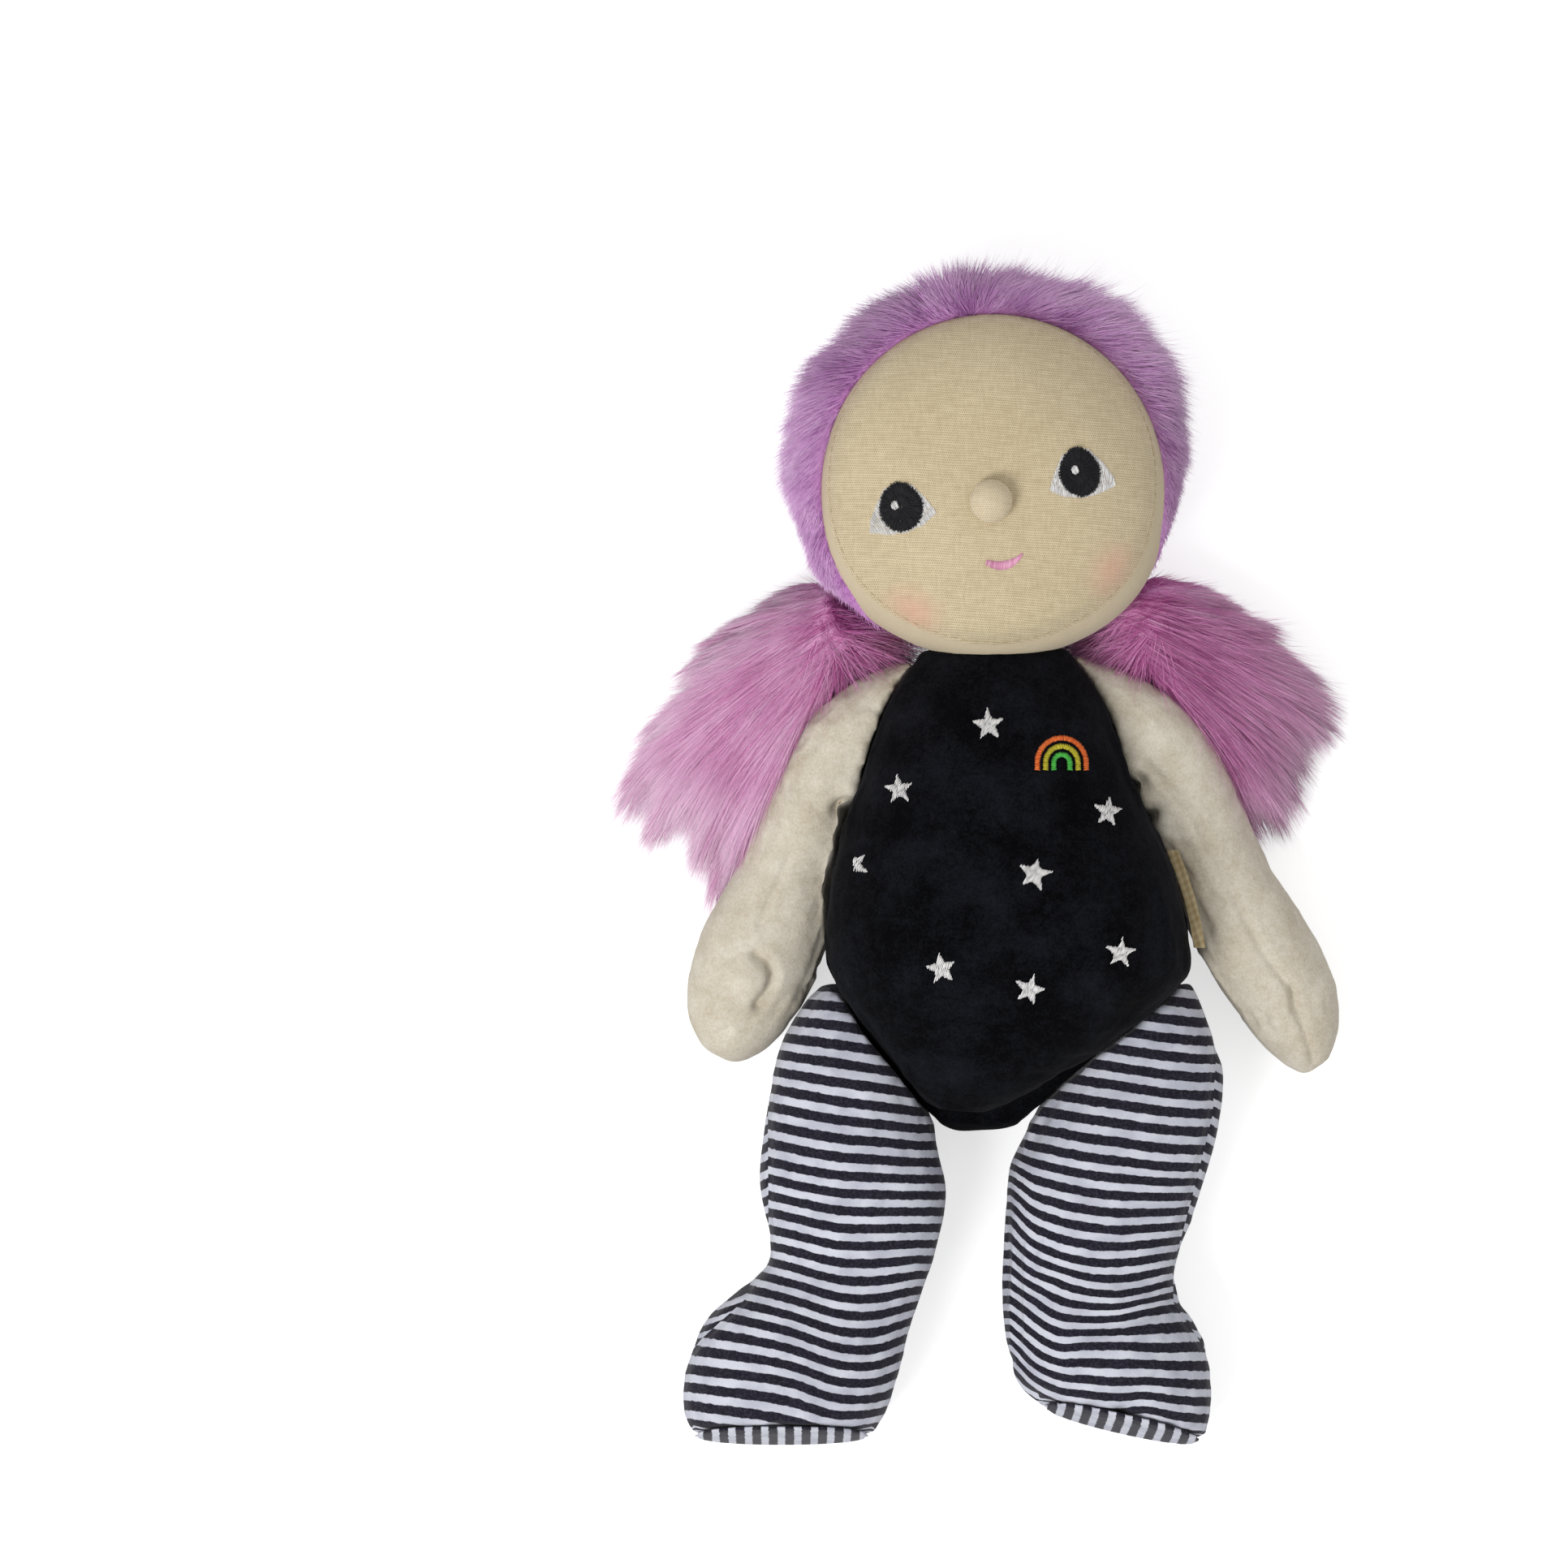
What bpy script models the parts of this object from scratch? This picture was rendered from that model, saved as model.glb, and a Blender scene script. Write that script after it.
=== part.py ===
"""A soft rag doll, laid on its back: stuffed cotton head, faux-fur hair in two pigtails, velour body and limbs.

Metres, +Z up from the table. +Y runs from the feet to the top of the head, and +X to the doll's own left.
The origin is on the table, in the middle of the doll's outline. Left and right are the doll's own.
Soft outlines are given as shares of a named length, width or depth, so a limb grows with its sizes.
"""

import math

import bmesh
import bpy
import numpy as np
from mathutils import Vector
from mathutils.bvhtree import BVHTree

# Sewing
CLEARANCE = 0.0003          # between two touching pieces
PANEL_THICKNESS = 0.0010    # woven cotton of the face
THREAD_THICKNESS = 0.0005   # how proud a patch of embroidery stands

# Head, in its own plane and front to back
HEAD_RADIUS = 0.0513
HEAD_DEPTH = 0.078
HEAD_TILT = math.radians(11)
HEAD_X = 0.0012
HEAD_FULLNESS = 2.4         # 2 is an ellipsoid, more is flatter in front
CHEEK_FULLNESS = 0.047      # how much further out the head is at each cheek, as a share of its radius
CHEEKS = (204, 312)         # where the cheeks are fullest, in degrees from the face's own +x
CHEEK_SPREAD = 25
CHIN_OVER_NECK = 0.0062     # how far the chin covers the top of the body

# Face
SEAM_INSET_TOP = 0.0013
SEAM_INSET_CHIN = 0.0045
NOSE_DIAMETER = 0.0125
NOSE_DROP = 0.0050          # below the middle of the face
FACE_SHIFT = 0.0019         # the face looks this far to the doll's right
EYE_SPACING = 0.0517
EYE_DROP = 0.0022
IRIS_WIDTH = 0.0124
IRIS_HEIGHT = 0.0143
EYE_WHITE_WIDTH = 0.0205
GLINT_WIDTH = 0.0024
MOUTH_WIDTH = 0.0104
MOUTH_THICKNESS = 0.0026
MOUTH_DROP = 0.0237

# Hair
PILE_TOP = 0.0122
PILE_SIDE = 0.0090
PILE_BACK = 0.0050
# Where the pile is swept up or lies flat: the place and its spread in degrees, and how much longer it stands.
PILE_SWEEP = ((36, 26, 0.0050), (139, 20, 0.0032), (344, 28, -0.0042), (198, 24, -0.0036))
TUFT_RISE = 0.0006
HAIR_BACKING = 0.0010       # under the chin, where the pile is shorn
PIGTAIL_LENGTH = 0.096
PIGTAIL_DEPTH = 0.036

# Body
BODY_LENGTH = 0.141
BODY_WIDTH = 0.110
BODY_DEPTH = 0.072
BODY_X = 0.0022
BODY_TOP_Y = 0.0658
STAR_WIDTH = 0.0098
RAINBOW_WIDTH = 0.0156
RAINBOW_BAND = 0.0016
LABEL_LENGTH = 0.029
LABEL_WIDTH = 0.0036
LABEL_THICKNESS = 0.0012

# Arms
RIGHT_ARM_LENGTH = 0.126
LEFT_ARM_LENGTH = 0.136
ARM_WIDTH = 0.035
ARM_DEPTH = 0.032
THUMB_LENGTH = 0.0130
THUMB_WIDTH = 0.0085
THUMB_ALONG = 0.735         # share of the arm's length
THUMB_ACROSS = -0.10        # share of the arm's width, outwards from its middle

# Legs
RIGHT_LEG_LENGTH = 0.1375
LEFT_LEG_LENGTH = 0.1345
LEG_WIDTH = 0.056
LEG_DEPTH = 0.046
SOLE_THICKNESS = 0.0018

# How finely the soft forms are faceted
LIMB_SIDES = 18
BODY_SIDES = 24
HEAD_SIDES = 32
RINGS_PER_STATION = 2

TABLE = 0.0
FULL_TURN = 2 * math.pi

# Each station is (along, across, half width, low, high, turn): along in shares of the length, across and half width
# in shares of the width, low and high in shares of the depth above the table, and the turn of the section in degrees.
BODY_STATIONS = (
    (0.000, 0.020, 0.190, 0.30, 0.80, 0),
    (0.045, 0.022, 0.215, 0.25, 0.84, 0),
    (0.125, 0.022, 0.285, 0.15, 0.88, 0),
    (0.195, 0.021, 0.325, 0.08, 0.92, 0),
    (0.295, 0.023, 0.366, 0.02, 0.96, 0),
    (0.415, 0.036, 0.432, -0.02, 0.99, 0),
    (0.535, 0.046, 0.480, -0.04, 1.00, 0),
    (0.635, 0.056, 0.498, -0.04, 1.00, 0),
    (0.705, 0.063, 0.490, -0.04, 0.97, 0),
    (0.770, 0.045, 0.425, -0.03, 0.93, 0),
    (0.857, 0.020, 0.318, 0.00, 0.85, 0),
    (0.925, -0.020, 0.205, 0.06, 0.76, 0),
    (0.970, -0.052, 0.125, 0.16, 0.66, 0),
    (0.992, -0.075, 0.060, 0.26, 0.58, 0),
)
SEAT_STATIONS = BODY_STATIONS[:10] + (
    (0.857, 0.010, 0.330, 0.00, 0.85, 0),
    (0.925, -0.005, 0.240, 0.04, 0.76, 0),
    (0.985, -0.010, 0.170, 0.10, 0.66, 0),
    (1.038, -0.020, 0.090, 0.22, 0.58, 0),
)
BODY_ROUNDNESS = 2.3

ARM_ROUNDNESS = 2.15
RIGHT_ARM_STATIONS = (
    (-0.046, 0.07, 0.10, 0.40, 1.20, 12),
    (0.006, 0.09, 0.28, 0.36, 1.28, 12),
    (0.082, 0.17, 0.39, 0.34, 1.32, 12),
    (0.170, 0.215, 0.465, 0.32, 1.34, 12),
    (0.376, 0.21, 0.47, 0.20, 1.18, 0),
    (0.549, 0.16, 0.47, 0.06, 1.02, 0),
    (0.722, 0.13, 0.53, -0.02, 1.00, 0),
    (0.869, 0.10, 0.46, -0.04, 0.92, 0),
    (0.955, 0.07, 0.30, 0.05, 0.78, 0),
    (0.992, 0.04, 0.13, 0.22, 0.58, 0),
)
LEFT_ARM_STATIONS = (
    (-0.066, 0.04, 0.10, 0.40, 1.20, 14),
    (0.006, 0.15, 0.27, 0.36, 1.28, 14),
    (0.099, 0.265, 0.40, 0.34, 1.32, 14),
    (0.204, 0.29, 0.46, 0.32, 1.34, 14),
    (0.337, 0.26, 0.47, 0.22, 1.20, 2),
    (0.490, 0.22, 0.40, 0.06, 1.00, 0),
    (0.640, 0.165, 0.465, -0.02, 0.98, 0),
    (0.760, 0.160, 0.470, -0.04, 0.98, 0),
    (0.863, 0.150, 0.410, -0.02, 0.90, 0),
    (0.945, 0.100, 0.280, 0.05, 0.76, 0),
    (0.992, 0.050, 0.120, 0.20, 0.56, 0),
)

LEG_ROUNDNESS = 2.3
RIGHT_LEG_STATIONS = (
    (0.000, -0.10, 0.26, 0.10, 0.80, 0),
    (0.080, -0.01, 0.33, 0.04, 0.90, 0),
    (0.180, 0.03, 0.40, 0.00, 0.97, 0),
    (0.375, 0.01, 0.484, -0.03, 1.03, 0),
    (0.460, -0.01, 0.504, -0.03, 1.01, 0),
    (0.586, -0.007, 0.446, -0.02, 0.94, 0),
    (0.639, 0.060, 0.470, -0.02, 0.92, 0),
    (0.692, 0.165, 0.527, -0.02, 0.94, 0),
    (0.745, 0.245, 0.565, -0.03, 0.97, 0),
    (0.845, 0.320, 0.580, -0.03, 1.00, 0),
    (0.943, 0.360, 0.540, -0.03, 0.98, 0),
    (0.978, 0.375, 0.480, 0.02, 0.94, 0),
)
LEFT_LEG_STATIONS = (
    (0.000, 0.06, 0.30, 0.10, 0.80, 0),
    (0.080, 0.11, 0.36, 0.04, 0.90, 0),
    (0.180, 0.12, 0.44, 0.00, 0.97, 0),
    (0.290, 0.05, 0.50, -0.02, 1.02, 0),
    (0.400, -0.05, 0.54, -0.03, 1.04, 0),
    (0.510, -0.10, 0.505, -0.03, 1.00, 0),
    (0.653, -0.152, 0.455, -0.02, 0.93, 0),
    (0.724, -0.120, 0.488, -0.02, 0.94, 0),
    (0.802, -0.058, 0.535, -0.03, 0.98, 1),
    (0.885, -0.025, 0.525, -0.03, 1.00, 4),
    (0.939, 0.000, 0.496, -0.03, 0.98, 9),
    (0.974, 0.020, 0.440, 0.02, 0.94, 13),
)
# The lower edge of each foot, where the sole is sewn on, is the last station.
SOLE_SHARE = 0.97

# The outline of a pigtail from its root, outwards and towards the head in shares of its length: over the top edge,
# round the points of the locks and back along the side that the arm covers.
RIGHT_PIGTAIL = (
    (-0.02, 0.10), (0.19, 0.15), (0.36, 0.06), (0.51, -0.07), (0.61, -0.20), (0.69, -0.32), (0.76, -0.45),
    (0.84, -0.57), (0.73, -0.58), (0.69, -0.68), (0.59, -0.65), (0.60, -0.75), (0.49, -0.71), (0.53, -0.95),
    (0.38, -0.68), (0.25, -0.44), (0.10, -0.25), (-0.04, -0.08),
)
LEFT_PIGTAIL = (
    (-0.02, 0.10), (0.17, 0.17), (0.29, 0.145), (0.44, 0.07), (0.57, -0.05), (0.67, -0.20), (0.77, -0.34),
    (0.68, -0.40), (0.69, -0.56), (0.61, -0.55), (0.62, -0.69), (0.53, -0.62), (0.47, -0.66), (0.36, -0.56),
    (0.25, -0.42), (0.10, -0.25), (-0.04, -0.08),
)
# From the root to the outline: how far out, and the top and the underside in shares of the pigtail's depth.
PIGTAIL_PROFILE = (
    (0.22, 0.99, 0.0), (0.48, 0.88, 0.0), (0.72, 0.66, 0.0), (0.90, 0.40, 0.0), (1.0, 0.16, 0.05),
)

# Each star is (share of the body's length, share of the width from the middle, share of the star's width, turn).
STARS = (
    (0.172, 0.002, 1.00, 4),
    (0.318, -0.244, 0.86, 6),
    (0.360, 0.322, 0.92, -8),
    (0.492, 0.126, 1.06, -12),
    (0.472, -0.362, 0.84, 24),
    (0.690, -0.124, 0.98, 10),
    (0.655, 0.356, 0.92, -6),
    (0.730, 0.116, 0.96, -16),
)
STAR_POINTS = 5
STAR_WAIST = 0.46           # inner radius of a star over its outer one
RAINBOW_ALONG = 0.278
RAINBOW_ACROSS = 0.197

COLOURS = {
    "cotton": ((0.62, 0.52, 0.36), 0.85),
    "velour_cream": ((0.64, 0.58, 0.46), 0.90),
    "fur_lilac": ((0.42, 0.16, 0.38), 0.75),
    "fur_pink": ((0.53, 0.20, 0.42), 0.70),
    "velour_navy": ((0.006, 0.007, 0.010), 0.85),
    "velour_stripe": ((0.20, 0.20, 0.25), 0.85),
    "thread_white": ((0.75, 0.76, 0.80), 0.55),
    "thread_black": ((0.012, 0.012, 0.014), 0.50),
    "thread_pink": ((0.62, 0.22, 0.34), 0.50),
    "thread_orange": ((0.82, 0.16, 0.03), 0.50),
    "thread_yellow": ((0.70, 0.62, 0.06), 0.50),
    "thread_green": ((0.10, 0.55, 0.10), 0.50),
    "label_tan": ((0.45, 0.33, 0.15), 0.80),
}


def material(name):
    """The named finish, made once."""
    if name in bpy.data.materials:
        return bpy.data.materials[name]
    made = bpy.data.materials.new(name)
    made.use_nodes = True
    shader = made.node_tree.nodes["Principled BSDF"]
    colour, roughness = COLOURS[name]
    shader.inputs["Base Color"].default_value = (*colour, 1.0)
    shader.inputs["Roughness"].default_value = roughness
    shader.inputs["Metallic"].default_value = 0.0
    return made


def piece(name, points, faces, finish):
    """A named mesh object from points and faces, welded, facing out and shaded smooth. Its faces are split the same
    way as those of its grown copy, so that what is cut by the copy clears it everywhere."""
    mesh = bpy.data.meshes.new(name)
    mesh.from_pydata([tuple(p) for p in points], [], faces)
    form = bmesh.new()
    form.from_mesh(mesh)
    bmesh.ops.remove_doubles(form, verts=form.verts, dist=CLEARANCE / 30)
    bmesh.ops.recalc_face_normals(form, faces=form.faces)
    bmesh.ops.triangulate(form, faces=form.faces, quad_method="FIXED")
    form.to_mesh(mesh)
    form.free()
    mesh.materials.append(material(finish))
    mesh.shade_smooth()
    made = bpy.data.objects.new(name, mesh)
    bpy.context.scene.collection.objects.link(made)
    return made


def power(value, exponent):
    """A signed power, for rounded-square sections."""
    return math.copysign(abs(value) ** exponent, value)


def smooth_table(table, steps):
    """The stations with steps - 1 more between each two, on a curve through them all (Catmull-Rom)."""
    rows = np.array(table, float)
    ends = np.vstack([2 * rows[0] - rows[1], rows, 2 * rows[-1] - rows[-2]])
    out = []
    for i in range(len(rows) - 1):
        a, b, c, d = ends[i : i + 4]
        for t in np.arange(steps) / steps:
            out.append(0.5 * (2 * b + (c - a) * t + (2 * a - 5 * b + 4 * c - d) * t**2
                              + (3 * b - a - 3 * c + d) * t**3))
    out.append(rows[-1])
    return np.array(out)


class Soft:
    """A stuffed form laid out by stations along a straight line on the table, with rounded sections across it."""

    def __init__(self, anchor, heading, side, length, width, depth, table, roundness, sides):
        self.anchor = Vector((anchor[0], anchor[1], 0.0))
        self.along = Vector((math.sin(heading) * side, -math.cos(heading), 0.0))
        self.across = Vector((math.cos(heading) * side, math.sin(heading), 0.0))
        self.side = side
        self.length, self.width, self.depth = length, width, depth
        self.rows = smooth_table(table, RINGS_PER_STATION)
        self.roundness, self.sides = roundness, sides

    def middle(self, row):
        """The middle of a section, on the table."""
        return self.anchor + self.along * (row[0] * self.length) + self.across * (row[1] * self.width)

    def direction(self, row):
        """Which way a section runs, outwards across the form."""
        turn = math.radians(row[5])
        return self.across * math.cos(turn) + self.along * math.sin(turn)

    def section(self, row, grow=0.0, part="whole", shift=0.0):
        """One closed section. part is whole, front or back: a half stops half a clearance from the side seam."""
        low, high = row[3] * self.depth, row[4] * self.depth
        seam = (low + high) / 2
        half_width, rise = row[2] * self.width + grow, (high - low) / 2 + grow
        first, last = {"whole": (0, self.sides), "front": (0, self.sides // 2),
                       "back": (self.sides // 2, self.sides)}[part]
        count = last - first + (0 if part == "whole" else 1)
        gap = {"whole": 0.0, "front": CLEARANCE / 2, "back": -CLEARANCE / 2}[part]
        centre = self.middle(row) + self.along * shift
        points = []
        for i in range(first, first + count):
            angle = FULL_TURN * i / self.sides
            out = power(math.cos(angle), 2 / self.roundness) * half_width
            z = seam + gap + power(math.sin(angle), 2 / self.roundness) * (rise - abs(gap))
            floor = TABLE - grow
            points.append(centre + self.direction(row) * out + Vector((0, 0, max(z, floor))))
        return points

    def mesh(self, grow=0.0, part="whole"):
        """Points and faces of the closed form, each section joined to the next and both ends closed."""
        rings = []
        for i, row in enumerate(self.rows):
            shift = grow * ((i == len(self.rows) - 1) - (i == 0))
            rings.append(self.section(row, grow, part, shift))
        count = len(rings[0])
        points = [p for ring in rings for p in ring]
        faces = [(i * count + j, i * count + (j + 1) % count,
                  (i + 1) * count + (j + 1) % count, (i + 1) * count + j)
                 for i in range(len(rings) - 1) for j in range(count)]
        faces.append(tuple(reversed(range(count))))
        faces.append(tuple(range((len(rings) - 1) * count, len(rings) * count)))
        return points, faces


def cutter(points, faces):
    """A grown copy of a neighbour, to cut with. It is removed after the cut."""
    return piece("cutter", points, faces, "thread_white")


def join_or_cut(target, tools, operation):
    """Joins the tools to the target, or cuts them from it, and removes them."""
    for tool in tools:
        step = target.modifiers.new("step", "BOOLEAN")
        step.operation = operation
        step.solver = "EXACT"
        step.object = tool
    graph = bpy.context.evaluated_depsgraph_get()
    done = bpy.data.meshes.new_from_object(target.evaluated_get(graph))
    target.modifiers.clear()
    target.data = done
    for tool in tools:
        bpy.data.objects.remove(tool)
    keep_main_body(target)
    return target


def keep_main_body(target):
    """Drops the offcuts that a cut leaves, and the slivers along its edge."""
    form = bmesh.new()
    form.from_mesh(target.data)
    bmesh.ops.triangulate(form, faces=form.faces)
    bmesh.ops.dissolve_degenerate(form, edges=form.edges, dist=CLEARANCE / 6)
    bodies, seen = [], set()
    for start in form.verts:
        if start in seen:
            continue
        group, waiting = [], [start]
        seen.add(start)
        while waiting:
            v = waiting.pop()
            group.append(v)
            for edge in v.link_edges:
                other = edge.other_vert(v)
                if other not in seen:
                    seen.add(other)
                    waiting.append(other)
        bodies.append(group)
    main = max(bodies, key=len)
    bmesh.ops.delete(form, geom=[v for group in bodies if group is not main for v in group], context="VERTS")
    form.to_mesh(target.data)
    form.free()
    target.data.shade_smooth()


# The head

HEAD_MIDDLE = Vector((
    BODY_X + HEAD_X,
    BODY_TOP_Y - CHIN_OVER_NECK + HEAD_RADIUS,
    HEAD_DEPTH / 2 + PILE_BACK,
))
FACE_RIGHT = Vector((math.cos(HEAD_TILT), math.sin(HEAD_TILT), 0.0))
FACE_UP = Vector((-math.sin(HEAD_TILT), math.cos(HEAD_TILT), 0.0))


def near_angle(around, place, spread):
    """1 where around is at place and 0 away from it. place and spread are in degrees."""
    away = (math.degrees(around) - place + 180) % 360 - 180
    return math.exp(-(away / spread) ** 2)


def head_point(around, lift, offset=0.0):
    """A point on the head. around turns from the face's own +x towards its top; lift goes from -90 degrees at the
    back of the head, through the widest place, to 90 degrees in the middle of the face."""
    share = power(math.cos(lift), 2 / HEAD_FULLNESS)
    radius = HEAD_RADIUS * share
    height = HEAD_DEPTH / 2 * power(math.sin(lift), 2 / HEAD_FULLNESS)
    slope_out = (abs(radius) / HEAD_RADIUS) ** (HEAD_FULLNESS - 1) / HEAD_RADIUS
    slope_up = power(2 * height / HEAD_DEPTH, HEAD_FULLNESS - 1) / (HEAD_DEPTH / 2)
    steepness = math.hypot(slope_out, slope_up)
    radius += offset * slope_out / steepness
    height += offset * slope_up / steepness
    radius *= 1 + CHEEK_FULLNESS * share**5 * sum(near_angle(around, cheek, CHEEK_SPREAD) for cheek in CHEEKS)
    out = FACE_RIGHT * math.cos(around) + FACE_UP * math.sin(around)
    return HEAD_MIDDLE + out * radius + Vector((0, 0, height))


def face_point(x, y, offset=0.0):
    """The point over (x, y) of the face's own plane, that far outside the stuffed head."""
    distance = min(math.hypot(x, y) / HEAD_RADIUS, 0.999)
    rise = (1 - distance**HEAD_FULLNESS) ** (1 / HEAD_FULLNESS)
    lift = math.atan2(rise ** (HEAD_FULLNESS / 2), distance ** (HEAD_FULLNESS / 2))
    return head_point(math.atan2(y, x), lift, offset)


def chin_share(around):
    """0 over the forehead and sides, 1 under the chin."""
    t = min(max((-math.sin(around) - 0.45) / 0.45, 0.0), 1.0)
    return t * t * (3 - 2 * t)


def revolved(rows, floor):
    """Points and faces of a closed form from rows of rings, each row a full turn, and a pole at both ends."""
    points = [max_z(p, floor) for row in rows[1:-1] for p in row] + [max_z(rows[0], floor), max_z(rows[-1], floor)]
    count, inner = len(rows[1]), len(rows) - 2
    faces = [(i * count + j, i * count + (j + 1) % count, (i + 1) * count + (j + 1) % count, (i + 1) * count + j)
             for i in range(inner - 1) for j in range(count)]
    first, last = len(points) - 2, len(points) - 1
    faces += [(first, (j + 1) % count, j) for j in range(count)]
    faces += [(last, (inner - 1) * count + j, (inner - 1) * count + (j + 1) % count) for j in range(count)]
    return points, faces


def max_z(point, floor):
    """The point, lifted to the floor if it lies lower."""
    return Vector((point.x, point.y, max(point.z, floor)))


def head_form(offset=0.0):
    """The stuffed head, or a copy grown by offset."""
    lifts = [math.radians(a) for a in (-75, -58, -42, -28, -16, -7, 0, 7, 16, 28, 42, 58, 75)]
    rows = [head_point(0, -math.pi / 2, offset)]
    rows += [[head_point(FULL_TURN * j / HEAD_SIDES, lift, offset) for j in range(HEAD_SIDES)] for lift in lifts]
    rows += [head_point(0, math.pi / 2, offset)]
    return revolved(rows, TABLE - CLEARANCE)


def seam_inset(around):
    """How far inside the head's outline the face panel is sewn down."""
    share = (1 - math.sin(around)) / 2
    return SEAM_INSET_TOP + (SEAM_INSET_CHIN - SEAM_INSET_TOP) * share


def face_panel_form(under=CLEARANCE, over=CLEARANCE + PANEL_THICKNESS):
    """The woven panel: a dome of even thickness over the front of the head, out to the seam."""
    shares = (1.0, 0.93, 0.82, 0.64, 0.42, 0.20)
    rows = [face_point(0, 0, under)]
    for offset, order in ((under, reversed(shares)), (over, shares)):
        for share in order:
            ring = []
            for j in range(HEAD_SIDES):
                around = FULL_TURN * j / HEAD_SIDES
                reach = (HEAD_RADIUS - seam_inset(around)) * share
                ring.append(face_point(math.cos(around) * reach, math.sin(around) * reach, offset))
            rows.append(ring)
    rows.append(face_point(0, 0, over))
    return revolved(rows, TABLE)


def pile(around):
    """How far the fur stands out beside the head, longest over the forehead and shorn under the chin."""
    top = max(math.sin(around), 0.0)
    length = PILE_SIDE + (PILE_TOP - PILE_SIDE) * top**1.5
    length += sum(more * near_angle(around, place, spread) for place, spread, more in PILE_SWEEP)
    tufts = TUFT_RISE * (math.sin(7 * around + 0.6) + 0.8 * math.sin(13 * around + 2.0))
    return length + tufts


def hair_cap_form(grow=0.0):
    """The fur cap: a deep bowl over the back and sides of the head, from the face seam to the table.
    Its inside reaches into the head, which is cut from it."""
    inner_offset = -HAIR_BACKING
    rim_front, rim_chin, back = math.radians(13), math.radians(-34), -math.pi / 2
    profile = ((0.0, 0.34), (0.04, 0.74), (0.10, 0.96), (0.18, 1.0), (0.28, 0.86), (0.40, 0.66),
               (0.55, 0.45), (0.72, 0.36), (0.88, 0.33))
    inner_shares = (0.0, 0.12, 0.26, 0.42, 0.60, 0.80)
    pole_inner = head_point(0, back, inner_offset)
    pole_outer = head_point(0, back, PILE_BACK + grow)
    arounds = [FULL_TURN * j / HEAD_SIDES for j in range(HEAD_SIDES)]

    def rim(around):
        return rim_front + (rim_chin - rim_front) * chin_share(around)

    def lift(around, share):
        return rim(around) + (back - rim(around)) * share + (grow / HEAD_RADIUS if share == 0 else 0)

    rows = [pole_inner]
    for share in reversed(inner_shares):
        rows.append([head_point(a, lift(a, share), inner_offset) for a in arounds])
    for share, fullness in profile:
        ring = []
        for a in arounds:
            thick = pile(a) + (HAIR_BACKING - pile(a)) * chin_share(a)
            ring.append(head_point(a, lift(a, share), CLEARANCE + HAIR_BACKING / 2 + thick * fullness + grow))
        rows.append(ring)
    rows.append(pole_outer)
    return revolved(rows, TABLE - grow)


# Flat embroidery, laid on a surface given by a function of (x, y, offset)

def pad(name, outline, surface, base, finish, rings=(0.5, 1.0)):
    """A patch of thread inside a star-shaped outline, following the surface at base and THREAD_THICKNESS thick."""
    centre = np.mean(np.array(outline), axis=0)
    low, high = base, base + THREAD_THICKNESS

    def ring(share, offset):
        return [surface(centre[0] + (x - centre[0]) * share, centre[1] + (y - centre[1]) * share, offset)
                for x, y in outline]

    rows = [surface(centre[0], centre[1], low)]
    rows += [ring(share, low) for share in rings]
    rows += [ring(share, high) for share in reversed(rings)]
    rows += [surface(centre[0], centre[1], high)]
    points, faces = revolved(rows, TABLE)
    return piece(name, points, faces, finish)


def band(name, line, width, surface, base, finish):
    """A stitched band of even width along a line of (x, y) points, THREAD_THICKNESS thick."""
    points = []
    count = len(line)
    for i, (x, y) in enumerate(line):
        ahead, behind = line[min(i + 1, count - 1)], line[max(i - 1, 0)]
        run = math.hypot(ahead[0] - behind[0], ahead[1] - behind[1])
        nx, ny = -(ahead[1] - behind[1]) / run, (ahead[0] - behind[0]) / run
        for side, offset in ((-1, base), (1, base), (1, base + THREAD_THICKNESS), (-1, base + THREAD_THICKNESS)):
            points.append(surface(x + nx * side * width / 2, y + ny * side * width / 2, offset))
    faces = [(i * 4 + j, i * 4 + (j + 1) % 4, i * 4 + 4 + (j + 1) % 4, i * 4 + 4 + j)
             for i in range(count - 1) for j in range(4)]
    faces += [(3, 2, 1, 0), tuple(range(count * 4 - 4, count * 4))]
    return piece(name, points, faces, finish)


def ellipse(x, y, width, height, count=20, point=0.0):
    """An upright oval, a little pointed at the top."""
    out = []
    for i in range(count):
        a = FULL_TURN * i / count
        narrow = 1 - point * max(math.sin(a), 0.0)
        out.append((x + width / 2 * math.cos(a) * narrow, y + height / 2 * math.sin(a)))
    return out


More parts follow.
